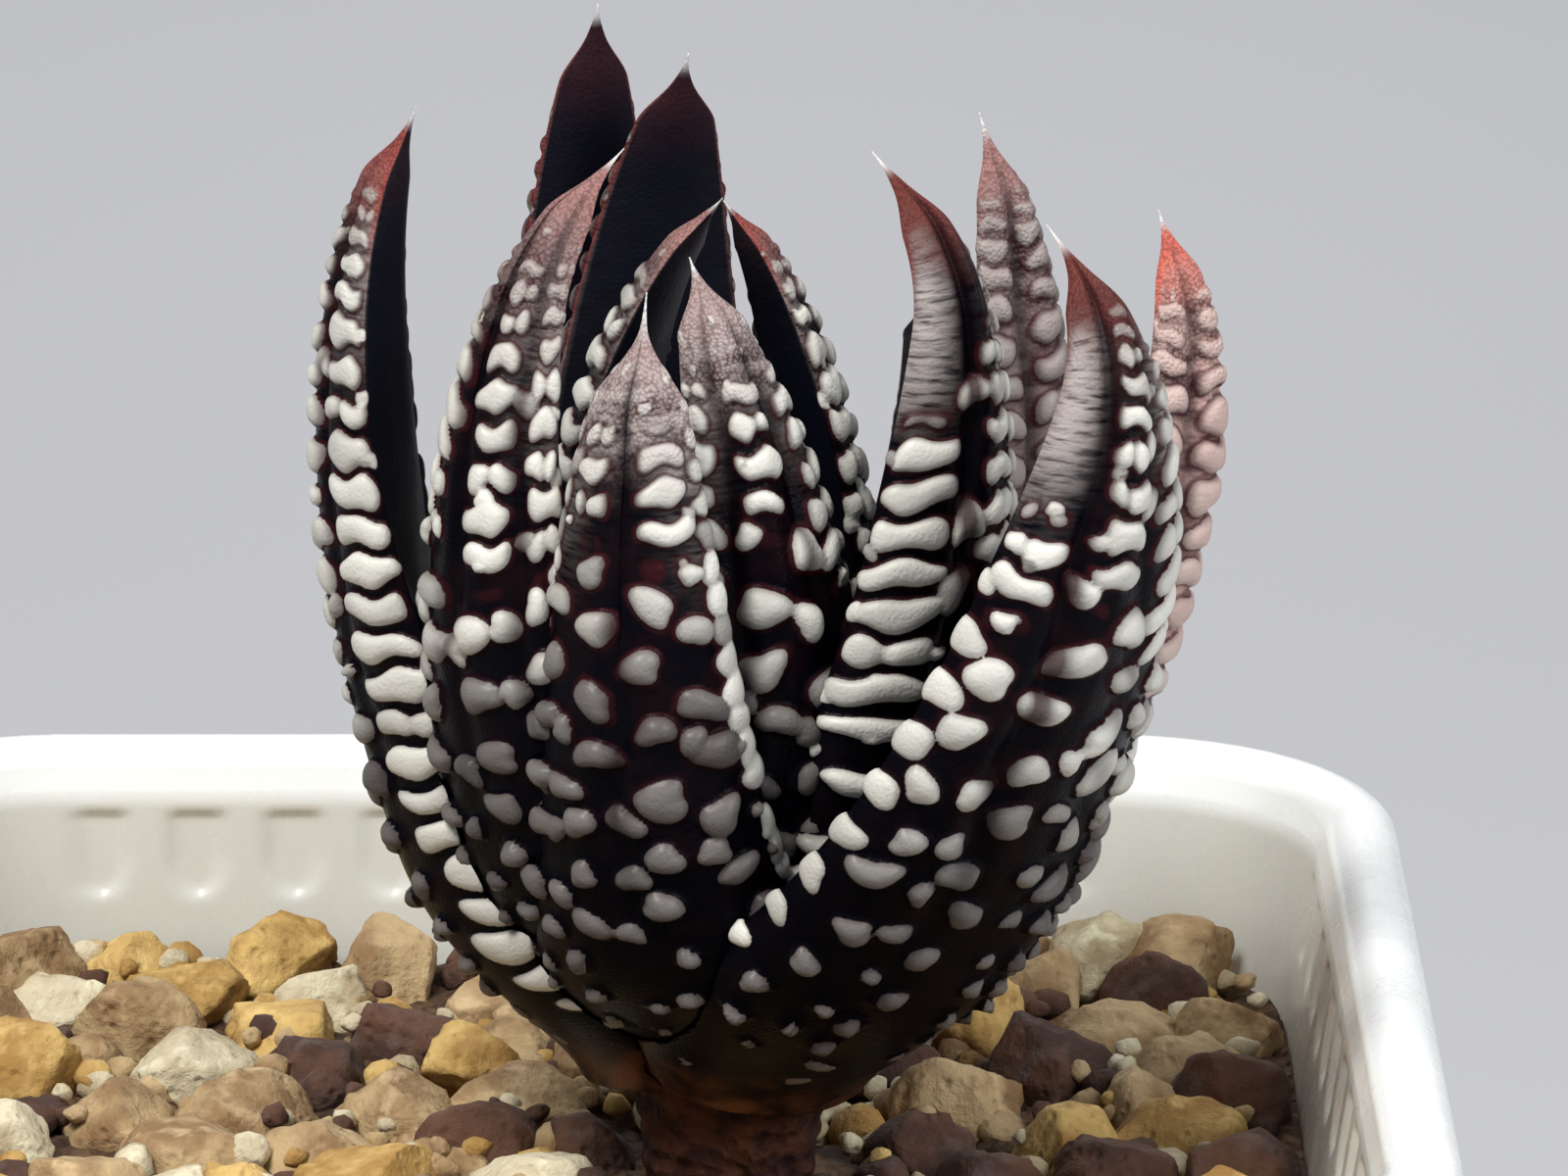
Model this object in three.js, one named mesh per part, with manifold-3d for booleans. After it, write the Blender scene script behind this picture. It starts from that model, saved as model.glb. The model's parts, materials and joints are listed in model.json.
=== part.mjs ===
// A small warty haworthia, growing slightly off centre in a square white plastic pot of stone grit.
// Units are millimetres, +Z is up, and the origin is the middle of the pot's underside.
// The pot's sides face the X and Y axes, and the plant is seen best from -Y.

import * as THREE from "three";
import { mergeVertices } from "three/addons/utils/BufferGeometryUtils.js";
import Module from "manifold-3d";

const wasm = await Module();
wasm.setup();

// Pot
const POT_HEIGHT = 79.3;
const RIM_HALF = 44.5; // half the width over the rim
const RIM_WIDTH = 4; // the rim's flat top, from the outside to the inner wall
const RIM_DROP = 12; // height of the band under the rim
const WALL = 1.6;
const WALL_DRAFT = 0.15; // how far the wall leans in for each millimetre down
const FLOOR = 3;
const CORNER_RADIUS = 16;
const CORNER_DRAFT = 0.1;
const CORNER_STEPS = 6;
const DRAIN_RADIUS = 3.5;
const DRAIN_SPACING = 17;

const FIT = 0.3; // clearance between pieces that touch
const SLIVER = 0.06; // detail finer than this is left out
const SLIVER_PASSES = 4;

// Grit
const GRIT_BED = 67.6; // level of the gaps between the stones
const STONE_SPACING = 7.6;
const STONE_RADIUS = 3.9;
const STONE_RISE = 3; // how far an average stone stands out of the bed
const STONE_TOP = 71.4; // the highest a stone may reach under the leaves
const LEAF_REACH = 15; // radius round the stem within which the leaves hang low

// Plant
const PLANT_X = 8.3;
const SOIL_LEVEL = 70;
const FILES = 4; // lines of warts that run up the back of a leaf, between those on its margins
const WART_PITCH = 2.6; // from one wart to the next along a line
const WART_HEIGHT = 0.75;
const WART_SPREAD = 0.25; // share by which a wart stands higher or lower than the mean
const FIRST_WART = 0.1; // where the warts start and end, as shares of a leaf's length
const LAST_WART = 0.88;
const SPINE_HALF = 0.3; // half the width of the needle at a leaf's tip
const HOOK_START = 0.86; // where a leaf's hook starts
const NECK_START = 0.7;

// Stem outline, from the tip of the root stock to the growing point: radius and height above the soil
const STEM_OUTLINE = [
  [0, -26], [1.4, -25], [3.2, -10], [4.4, -3], [4.8, 1],
  [5.4, 5], [4.2, 8], [3, 10.5], [1.6, 12.5], [0, 13],
];

// The leaves, the lowest and outermost first. azimuth is in degrees from the front (-Y) towards +X.
// route is the inner face's middle line as four curve points, each a distance from the stem's axis and
// a height above the soil. lean carries the tip sideways, hook draws it in, roll turns the upper part
// round its own length, and foot is the clasping base's width. neck is the share by which the leaf
// narrows more towards its tip, and needle is the length of the fine tip as a share of the leaf's.
const LEAVES = [
  { azimuth: -154, roll: 0, lean: -0.4, hook: 0, width: 15, foot: 18, depth: 4.2, neck: 0, needle: 0.025,
    route: [[5.6, 5.5], [11, 9], [20, 34], [16.5, 57]] },
  { azimuth: 140, roll: 0, lean: 0, hook: 0, width: 12, foot: 18, depth: 4.4, neck: 0, needle: 0.035,
    route: [[5.6, 5.5], [10, 11], [22, 32], [15, 42]] },
  { azimuth: 84, roll: 20, lean: 0.5, hook: 0, width: 13, foot: 18, depth: 5, neck: 0, needle: 0.035,
    route: [[5.6, 5.5], [9, 13], [26.5, 34], [21.8, 50]] },
  { azimuth: -86, roll: 24, lean: 0, hook: 0, width: 14, foot: 21, depth: 6, neck: 0.2, needle: 0.03,
    route: [[5, 4.5], [7.8, 11.5], [22.5, 35], [15.8, 55.2]] },
  { azimuth: 39, roll: 0, lean: 3.8, hook: 3.6, width: 19, foot: 26, depth: 4.8, neck: 0.4, needle: 0.04,
    route: [[5.2, 4], [8.4, 9.5], [34, 36], [24, 52]] },
  { azimuth: -18, roll: 0, lean: 0, hook: 0, width: 13.8, foot: 18, depth: 4.6, neck: 0, needle: 0.075,
    route: [[4.2, 8], [11, 9.5], [18, 32], [13, 48.3]] },
  { azimuth: -116, roll: 0, lean: 0, hook: 0, width: 10, foot: 12, depth: 4, neck: 0, needle: 0.035,
    route: [[4, 8.5], [9, 12], [15, 28], [10, 38]] },
  { azimuth: 84, roll: 30, lean: 1.5, hook: 0, width: 14.5, foot: 12, depth: 4.6, neck: 0.2, needle: 0.04,
    route: [[4, 8.5], [8, 13], [18, 36], [12.6, 54.6]] },
  { azimuth: -156, roll: 0, lean: -3, hook: 0, width: 16.5, foot: 13, depth: 4.2, neck: 0, needle: 0.03,
    route: [[3.8, 8.5], [9, 12], [17, 36], [12, 55]] },
  { azimuth: -54, roll: 0, lean: 1.3, hook: 2, width: 14.5, foot: 15, depth: 4.8, neck: 0.15, needle: 0.03,
    route: [[3.8, 8.5], [9, 12], [20.6, 36.5], [9.4, 54]] },
  { azimuth: 50, roll: 0, lean: 0, hook: 4.2, width: 15, foot: 14, depth: 4.8, neck: 0.2, needle: 0.03,
    route: [[3.8, 9], [6.5, 13], [17.2, 35], [13.6, 54]] },
  { azimuth: 22, roll: 0, lean: -4, hook: 0, width: 12.4, foot: 12, depth: 4.2, neck: 0, needle: 0.035,
    route: [[3, 10], [8, 13], [13.2, 33], [4.7, 48.5]] },
  { azimuth: -118, roll: 0, lean: -1.2, hook: 0, width: 13, foot: 8, depth: 3.6, neck: 0, needle: 0.03,
    route: [[2, 11.5], [6, 15], [12, 36], [1, 49.8]] },
  { azimuth: 114, roll: 0, lean: 3, hook: 0, width: 13, foot: 8, depth: 3.6, neck: 0, needle: 0.03,
    route: [[2, 12], [5, 15], [7.6, 37], [1, 49.3]] },
];

const WHITE_PLASTIC = new THREE.MeshStandardMaterial({ color: 0xf2f2ee, roughness: 0.35 });
const TAN_GRIT = new THREE.MeshStandardMaterial({ color: 0xb08a55, roughness: 0.9 });
const BROWN_STEM = new THREE.MeshStandardMaterial({ color: 0x6b3d20, roughness: 0.8 });
const DARK_LEAF = new THREE.MeshStandardMaterial({ color: 0x2a2024, roughness: 0.5 });

// Helpers

// 0 below a, 1 above b, and an even curve between them.
function smooth(a, b, x) {
  const u = Math.min(1, Math.max(0, (x - a) / (b - a)));
  return u * u * (3 - 2 * u);
}

// A repeatable draw from 0 to 1.
function draw(n) {
  const v = Math.sin(n * 12.9898 + 4.1414) * 43758.5453;
  return v - Math.floor(v);
}

function solidOf(points, triangles) {
  const geometry = new THREE.BufferGeometry();
  const numbers = points.flatMap((p) => [p.x, p.y, p.z]);
  geometry.setAttribute("position", new THREE.Float32BufferAttribute(numbers, 3));
  geometry.setIndex(triangles.flat());
  const merged = mergeVertices(geometry, 1e-4);
  const make = (triVerts) =>
    new wasm.Manifold(
      new wasm.Mesh({ numProp: 3, vertProperties: merged.attributes.position.array, triVerts }),
    );
  const triVerts = new Uint32Array(merged.index.array);
  const solid = make(triVerts);
  return solid.volume() > 0 ? solid : make(triVerts.reverse());
}

function solidOfGeometry(geometry) {
  const bare = geometry.clone();
  bare.deleteAttribute("normal");
  bare.deleteAttribute("uv");
  const merged = mergeVertices(bare, 1e-4);
  return new wasm.Manifold(
    new wasm.Mesh({
      numProp: 3,
      vertProperties: merged.attributes.position.array,
      triVerts: new Uint32Array(merged.index.array),
    }),
  );
}

// The largest body of a solid, freed of slivers, as a mesh.
function meshOf(name, solid, material) {
  const largest = (body) => body.decompose().reduce((a, b) => (a.volume() > b.volume() ? a : b));
  let made = largest(solid.asOriginal().simplify(SLIVER)).getMesh();
  for (let pass = 1; pass < SLIVER_PASSES; pass++) {
    made = largest(new wasm.Manifold(made).asOriginal().simplify(SLIVER)).getMesh();
  }
  const geometry = new THREE.BufferGeometry();
  geometry.setAttribute("position", new THREE.BufferAttribute(new Float32Array(made.vertProperties), 3));
  geometry.setIndex(new THREE.BufferAttribute(new Uint32Array(made.triVerts), 1));
  geometry.computeVertexNormals();
  const mesh = new THREE.Mesh(geometry, material);
  mesh.name = name;
  return mesh;
}

// A skin over stacked rings of equal count, closed at each end by a fan from the ring's point number
// hub. The diagonals alternate, so that a point raised at every second place stands alone.
function loft(rings, hub = 0) {
  const count = rings[0].length;
  const points = rings.flat();
  const triangles = [];
  for (let i = 0; i + 1 < rings.length; i++) {
    for (let j = 0; j < count; j++) {
      const [a, b] = [i * count + j, i * count + ((j + 1) % count)];
      const [c, d] = [b + count, a + count];
      if ((i + j) % 2 === 0) triangles.push([a, b, c], [a, c, d]);
      else triangles.push([a, b, d], [b, c, d]);
    }
  }
  for (const [start, turned] of [[0, true], [points.length - count, false]]) {
    for (let j = 1; j + 1 < count; j++) {
      const [a, b, c] = [hub, (hub + j) % count, (hub + j + 1) % count].map((k) => start + k);
      triangles.push(turned ? [a, c, b] : [a, b, c]);
    }
  }
  return solidOf(points, triangles);
}

// Pot

function roundedSquare(half, radius, z) {
  const points = [];
  for (let corner = 0; corner < 4; corner++) {
    for (let step = 0; step <= CORNER_STEPS; step++) {
      const angle = ((corner + step / CORNER_STEPS) * Math.PI) / 2;
      const [sx, sy] = [[1, 1], [-1, 1], [-1, -1], [1, -1]][corner];
      points.push(
        new THREE.Vector3(
          sx * (half - radius) + radius * Math.cos(angle),
          sy * (half - radius) + radius * Math.sin(angle),
          z,
        ),
      );
    }
  }
  return points;
}

// Half the width of the space inside the pot at a height.
function innerHalf(z) {
  return RIM_HALF - RIM_WIDTH - (POT_HEIGHT - z) * WALL_DRAFT;
}

// The corner radius of a skin of the pot. It keeps the wall even and is a little smaller lower down.
function cornerFor(half, z) {
  return CORNER_RADIUS - (RIM_HALF - half) + (POT_HEIGHT - z) * CORNER_DRAFT;
}

function makePot() {
  const bandFoot = POT_HEIGHT - RIM_DROP;
  const profile = [
    [innerHalf(0) + WALL - 0.8, 0],
    [innerHalf(0) + WALL, 0.9],
    [innerHalf(bandFoot) + WALL, bandFoot],
    [RIM_HALF - 0.9, bandFoot + 0.6],
    [RIM_HALF, POT_HEIGHT - 2],
    [RIM_HALF - 0.3, POT_HEIGHT - 0.6],
    [RIM_HALF - 1.1, POT_HEIGHT],
    [RIM_HALF - RIM_WIDTH + 1, POT_HEIGHT],
    [RIM_HALF - RIM_WIDTH + 0.2, POT_HEIGHT - 0.6],
    [innerHalf(POT_HEIGHT - 2), POT_HEIGHT - 2],
    [innerHalf(FLOOR), FLOOR],
  ];
  let pot = loft(profile.map(([half, z]) => roundedSquare(half, cornerFor(half, z), z)));
  const drains = [[0, 0], [1, 1], [-1, 1], [-1, -1], [1, -1]];
  for (const [x, y] of drains) {
    const drain = new THREE.CylinderGeometry(DRAIN_RADIUS, DRAIN_RADIUS, FLOOR + 2, 12);
    drain.rotateX(Math.PI / 2);
    drain.translate(x * DRAIN_SPACING, y * DRAIN_SPACING, FLOOR / 2);
    pot = pot.subtract(solidOfGeometry(drain));
  }
  return pot;
}

// Stem

function stemSolid(grow) {
  const outline = STEM_OUTLINE.map(([r, z], i) => {
    if (i === 0) return new THREE.Vector2(0, z - grow);
    if (i === STEM_OUTLINE.length - 1) return new THREE.Vector2(0, z + grow);
    return new THREE.Vector2(r + grow, z);
  });
  const lathe = new THREE.LatheGeometry(outline, 14);
  lathe.rotateX(Math.PI / 2);
  lathe.translate(PLANT_X, 0, SOIL_LEVEL);
  return solidOfGeometry(lathe);
}

// Grit

// A crushed stone: a hull round two uneven rings of corners.
function stoneSolid(x, y, radius, top, key) {
  const corners = [];
  for (const [count, share, level] of [[5, 1, GRIT_BED - 1], [3, 0.62, top]]) {
    const turn = draw(key + count) * Math.PI;
    for (let i = 0; i < count; i++) {
      const angle = turn + ((i + 0.35 * (draw(key + 7 * i + count) - 0.5)) / count) * 2 * Math.PI;
      const reach = radius * share * (0.75 + 0.25 * draw(key + 11 * i + 2 * count));
      const drop = level === top ? 1.3 * draw(key + 13 * i) : 0;
      corners.push([x + reach * Math.cos(angle), y + reach * Math.sin(angle), level - drop]);
    }
  }
  return wasm.Manifold.hull(corners);
}

// The stones lie in staggered rows that fill the pot.
function stones() {
  const room = innerHalf(GRIT_BED) - FIT;
  const corner = cornerFor(room, GRIT_BED);
  const found = [];
  const rows = Math.round((2 * room) / (STONE_SPACING * 0.866));
  const columns = Math.round((2 * room) / STONE_SPACING);
  for (let row = 0; row < rows; row++) {
    for (let column = 0; column < columns; column++) {
      const key = row * 61 + column * 17;
      const radius = STONE_RADIUS * (0.9 + 0.35 * draw(key));
      const limit = room - radius;
      const stagger = row % 2 === 0 ? 0.25 : 0.75;
      let x = ((column + stagger + 0.3 * (draw(key + 1) - 0.5)) / columns) * 2 * room - room;
      let y = ((row + 0.5 + 0.3 * (draw(key + 2) - 0.5)) / rows) * 2 * room - room;
      x = Math.min(limit, Math.max(-limit, x));
      y = Math.min(limit, Math.max(-limit, y));
      const [dx, dy] = [Math.abs(x) - (room - corner), Math.abs(y) - (room - corner)];
      if (dx > 0 && dy > 0 && Math.hypot(dx, dy) > corner - radius) {
        const k = (corner - radius) / Math.hypot(dx, dy);
        x = Math.sign(x) * (room - corner + dx * k);
        y = Math.sign(y) * (room - corner + dy * k);
      }
      const low = Math.hypot(x - PLANT_X, y) - radius < LEAF_REACH;
      const top = GRIT_BED + STONE_RISE * (0.8 + 0.6 * draw(key + 3));
      found.push(stoneSolid(x, y, radius, low ? Math.min(top, STONE_TOP) : top, key));
    }
  }
  return found;
}

function makeGrit() {
  const levels = [FLOOR, GRIT_BED];
  const bed = loft(levels.map((z) => {
    const half = innerHalf(z) - FIT;
    return roundedSquare(half, cornerFor(half, z), z);
  }));
  return wasm.Manifold.union([bed, ...stones()]).subtract(stemSolid(FIT));
}

// Leaves

// How a leaf's end draws in to the needle at its tip.
function shoulder(leaf, t) {
  return smooth(0.5 * leaf.needle, 1.35 * leaf.needle, 1 - t);
}

// How broad and how thick a leaf is at t, as shares of its width and depth.
function breadth(leaf, t) {
  return (1 - t) ** 0.62 * shoulder(leaf, t) * (1 - leaf.neck * smooth(NECK_START, 1, t));
}

function thickness(leaf, t) {
  return ((0.34 + 0.66 * smooth(0, 0.38, t)) * (1 - t) ** 0.55 * shoulder(leaf, t)) / 0.78;
}

// The leaf's own axes at t: where its middle line is, across it, out of its back, and how tightly it
// clasps the stem.
function station(leaf, t) {
  const azimuth = THREE.MathUtils.degToRad(leaf.azimuth);
  const away = new THREE.Vector3(Math.sin(azimuth), -Math.cos(azimuth), 0);
  const side = new THREE.Vector3(Math.cos(azimuth), Math.sin(azimuth), 0);
  const route = new THREE.CubicBezierCurve(...leaf.route.map(([r, z]) => new THREE.Vector2(r, z)));
  const place = (u) => {
    const p = route.getPoint(u);
    return new THREE.Vector3(PLANT_X, 0, SOIL_LEVEL + p.y)
      .addScaledVector(away, p.x - leaf.hook * (Math.max(0, u - HOOK_START) / (1 - HOOK_START)) ** 2)
      .addScaledVector(side, leaf.lean * u * u);
  };
  const [start, step] = [Math.max(0, t), 1e-3];
  const along = place(start + step).sub(place(start - step)).normalize();
  along.z += 0.9 * (1 - smooth(0, 0.4, t));
  along.normalize();
  const across = side.clone().addScaledVector(along, -side.dot(along)).normalize();
  const back = new THREE.Vector3().crossVectors(across, along);
  const reach = Math.max(3, route.getPoint(start).x);
  const clasp = ((1 - smooth(0.1, 0.62, t)) * Math.max(0.2, back.dot(away))) / reach;
  const roll = THREE.MathUtils.degToRad(leaf.roll) * smooth(0.4, 0.95, t);
  const turned = across.clone().multiplyScalar(Math.cos(roll)).addScaledVector(back, Math.sin(roll));
  back.multiplyScalar(Math.cos(roll)).addScaledVector(across, -Math.sin(roll));
  return { place: place(t), across: turned, back, clasp: Math.max(clasp, 1e-4) };
}

// A point of the leaf's skin: q runs over the back from one margin, 0, to the other, 1, and on over the
// inner face to 2. wart raises that point alone, grow moves the whole skin out.
function skinPoint(leaf, t, q, wart, grow) {
  const { place, across, back, clasp } = station(leaf, t);
  const full = smooth(0, 0.38, t);
  const width = leaf.foot * (1 - full) + (leaf.width / 0.78) * full;
  const half = (width / 2) * breadth(leaf, t) + SPINE_HALF + grow;
  const bulge = leaf.depth * thickness(leaf, t) + SPINE_HALF;
  const s = -Math.cos(Math.PI * q);
  let [b, n] = [half * s, 0];
  if (q > 1) {
    n = bulge * (1 - s * s) * (0.12 * (1 - smooth(0.45, 0.8, t)) - 0.25 * smooth(0.45, 0.8, t)) - grow;
  } else {
    const keel = 0.1 + 0.5 * smooth(0.4, 0.95, t);
    const round = (1 - keel) * Math.sqrt(Math.max(0, 1 - s * s)) + keel * (1 - Math.abs(s)) ** 0.9;
    b += wart * s;
    n = bulge * round + wart * Math.sin(Math.PI * q) + grow * (0.4 + 0.6 * Math.sin(Math.PI * q));
  }
  const radius = 1 / clasp + n;
  return place
    .clone()
    .addScaledVector(across, radius * Math.sin(clasp * b))
    .addScaledVector(back, radius * Math.cos(clasp * b) - 1 / clasp);
}

// How many rings of warts fit along a leaf. Each line of warts has one in every second ring.
function ringsOf(leaf) {
  const route = new THREE.CubicBezierCurve(...leaf.route.map(([r, z]) => new THREE.Vector2(r, z)));
  return Math.round((route.getLength() * (LAST_WART - FIRST_WART)) / (WART_PITCH / 2));
}

// A leaf with its staggered warts, or the smooth form that it presses into the leaves round it.
function leafSolid(leaf, seed, pressing) {
  const columns = FILES + 1;
  const count = ringsOf(leaf);
  const pitch = (LAST_WART - FIRST_WART) / count;
  const grow = pressing ? WART_HEIGHT * (1 + WART_SPREAD) + 1.6 * FIT : 0;
  const inner = pressing ? [1.05, 1.5, 1.95] : [1.5];
  const stops = pressing ? [-0.03, 0, FIRST_WART / 2] : [0, FIRST_WART / 2];
  for (let ring = 0; ring < count; ring++) {
    if (!pressing || ring < 10 || ring % 3 === 0) stops.push(FIRST_WART + (ring + 0.5) * pitch);
  }
  const neckEnd = 1 - 1.35 * leaf.needle;
  stops.push((LAST_WART + neckEnd) / 2, neckEnd, 1 - 0.5 * leaf.needle, 1);
  const skin = stops.map((t, i) => {
    const points = [];
    const fade = smooth(0.08, 0.28, t) * (1 - 0.65 * smooth(0.6, 0.9, t));
    for (let c = 0; c <= columns; c++) {
      const raised = !pressing && t > FIRST_WART && t < LAST_WART && (i + c) % 2 === 1;
      const key = seed * 997 + i * 37 + c * 11;
      if (raised) {
        const share = c === 0 || c === columns ? 0.5 : 1;
        const height = WART_HEIGHT * fade * share * (1 - WART_SPREAD + 2 * WART_SPREAD * draw(key));
        const along = share === 1 ? 0.6 * pitch * (draw(key + 1) - 0.5) : 0;
        const aside = share === 1 ? (0.35 / columns) * (draw(key + 2) - 0.5) : 0;
        points.push(skinPoint(leaf, t + along, c / columns + aside, height, grow));
      } else {
        points.push(skinPoint(leaf, t, c / columns, 0, grow));
      }
    }
    for (const q of inner) points.push(skinPoint(leaf, t, q, 0, grow));
    return points;
  });
  return loft(skin, columns + 1 + (inner.length - 1) / 2);
}

// Each leaf in turn is cut back where a leaf that stands further in, or the stem, presses on it.
function makeLeaves() {
  const pressed = LEAVES.map((leaf, i) => leafSolid(leaf, i + 1, true));
  const core = stemSolid(FIT);
  return LEAVES.map((leaf, i) => {
    let solid = leafSolid(leaf, i + 1, false).subtract(core);
    for (let j = i + 1; j < LEAVES.length; j++) solid = solid.subtract(pressed[j]);
    return solid;
  });
}

const plant = new THREE.Group();
plant.add(meshOf("pot", makePot(), WHITE_PLASTIC));
plant.add(meshOf("grit", makeGrit(), TAN_GRIT));
plant.add(meshOf("stem", stemSolid(0), BROWN_STEM));
makeLeaves().forEach((solid, i) => {
  plant.add(meshOf("leaf_" + String(i + 1).padStart(2, "0"), solid, DARK_LEAF));
});

export default plant;
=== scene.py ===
"""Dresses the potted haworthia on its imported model, and sets its floor, lights and camera.

Lengths are millimetres in the part's own frame until a mesh is made: +Z is up, the pot's underside is at 0
and the photographed side is -Y. Shader noises are scaled in metres, but those that wrinkle the leaves are in
millimetres of the skin.
"""

import json
import logging
from dataclasses import dataclass, field
from enum import Enum
from functools import lru_cache
from math import ceil, cos, pi, radians, sin
from typing import Iterable, Mapping, NamedTuple, Sequence, Union

import bmesh
import bpy
import numpy as np
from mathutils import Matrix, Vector
from mathutils.kdtree import KDTree

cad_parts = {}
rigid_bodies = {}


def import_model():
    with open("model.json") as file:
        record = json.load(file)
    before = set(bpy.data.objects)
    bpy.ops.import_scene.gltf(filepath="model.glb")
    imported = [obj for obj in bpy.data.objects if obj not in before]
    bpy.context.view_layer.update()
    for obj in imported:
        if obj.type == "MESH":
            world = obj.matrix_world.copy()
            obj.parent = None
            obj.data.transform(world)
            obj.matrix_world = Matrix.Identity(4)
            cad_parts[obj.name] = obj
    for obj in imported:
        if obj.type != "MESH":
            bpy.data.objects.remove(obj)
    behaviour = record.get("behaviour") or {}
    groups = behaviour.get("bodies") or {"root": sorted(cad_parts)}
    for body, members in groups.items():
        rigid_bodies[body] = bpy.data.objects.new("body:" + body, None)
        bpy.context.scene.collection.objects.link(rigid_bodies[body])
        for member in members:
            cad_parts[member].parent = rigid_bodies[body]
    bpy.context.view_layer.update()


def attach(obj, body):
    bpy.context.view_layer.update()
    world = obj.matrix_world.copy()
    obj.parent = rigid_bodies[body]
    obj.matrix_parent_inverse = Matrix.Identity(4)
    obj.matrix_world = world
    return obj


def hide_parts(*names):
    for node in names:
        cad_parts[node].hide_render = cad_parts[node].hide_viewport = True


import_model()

LOG = logging.getLogger("haworthia")
MM = 0.001
UP = np.array([0, 0, 1])

Colour = tuple[float, float, float]
Span = tuple[float, float]
Points = np.ndarray
Number = Union[float, np.ndarray]
Value = Union["Field", float, Colour, Sequence[float]]


def smooth(low: Number, high: Number, x: Number) -> Number:
    """0 up to low, 1 from high on, and an even curve between them."""
    share = np.clip((x - low) / (high - low), 0, 1)
    return share * share * (3 - 2 * share)


def draw(n: Number) -> Number:
    """A repeatable draw from 0 to 1, the same one that the solids use."""
    v = np.sin(n * 12.9898 + 4.1414) * 43758.5453
    return v - np.floor(v)


def unit(v: np.ndarray) -> np.ndarray:
    """The vectors of an array, each made one long."""
    return v / np.maximum(np.linalg.norm(v, axis=-1, keepdims=True), 1e-12)


def mesh_object(name: str, points: Points, faces: Sequence[Sequence[int]]) -> bpy.types.Object:
    """Makes a smooth-shaded object from millimetre points.

    Args:
        name: the piece's name.
        points: one row for each vertex, in millimetres.
        faces: the vertex numbers of each face.

    Returns:
        The object, linked to the scene.
    """
    mesh = bpy.data.meshes.new(name)
    mesh.from_pydata((np.asarray(points) * MM).tolist(), [], [list(f) for f in faces])
    mesh.validate()
    mesh.polygons.foreach_set("use_smooth", [True] * len(mesh.polygons))
    made = bpy.data.objects.new(name, mesh)
    bpy.context.scene.collection.objects.link(made)
    return made


def set_attribute(mesh: bpy.types.Mesh, name: str, values: np.ndarray) -> None:
    """Stores one number for each vertex under a name that a material can read."""
    attribute = mesh.attributes.new(name, "FLOAT", "POINT")
    attribute.data.foreach_set("value", np.asarray(values, dtype=np.float32))


def loft_faces(rings: int, count: int, hub: int | None = None) -> list[tuple[int, ...]]:
    """The faces of a skin over stacked rings of points.

    Args:
        rings: how many rings there are.
        count: how many points each has.
        hub: the point of the first and last ring from which a fan closes it, or None to leave both open.

    Returns:
        The faces, turned outwards for rings that run anticlockwise as seen from the last one.
    """
    faces = []
    for i in range(rings - 1):
        for j in range(count):
            a, b = i * count + j, i * count + (j + 1) % count
            faces.append((a, b, b + count, a + count))
    if hub is None:
        return faces
    for start, turned in ((0, True), ((rings - 1) * count, False)):
        for j in range(1, count - 1):
            a, b, c = (start + (hub + k) % count for k in (0, j, j + 1))
            faces.append((a, c, b) if turned else (a, b, c))
    return faces


class Field:
    """A shader socket that can be used in Python expressions."""

    def __init__(self, shader: "Shader", socket: bpy.types.NodeSocket) -> None:
        """Wraps a socket of a shader."""
        self.shader = shader
        self.socket = socket

    def _math(self, operation: str, *values: Value) -> "Field":
        """A Math node on the given values."""
        return self.shader.node("ShaderNodeMath", {"operation": operation}, dict(enumerate(values)))

    def __add__(self, other: Value) -> "Field":
        """The sum."""
        return self._math("ADD", self, other)

    __radd__ = __add__

    def __sub__(self, other: Value) -> "Field":
        """The difference."""
        return self._math("SUBTRACT", self, other)

    def __rsub__(self, other: Value) -> "Field":
        """The difference, from a number."""
        return self._math("SUBTRACT", other, self)

    def __mul__(self, other: Value) -> "Field":
        """The product."""
        return self._math("MULTIPLY", self, other)

    __rmul__ = __mul__

    def least(self, other: Value) -> "Field":
        """The smaller of the two."""
        return self._math("MINIMUM", self, other)

    def ramp(self, low: float, high: float) -> "Field":
        """0 up to low, 1 from high on, and an even curve between them."""
        values = {"Value": self, "From Min": low, "From Max": high}
        return self.shader.node("ShaderNodeMapRange", {"interpolation_type": "SMOOTHSTEP"}, values)


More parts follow.
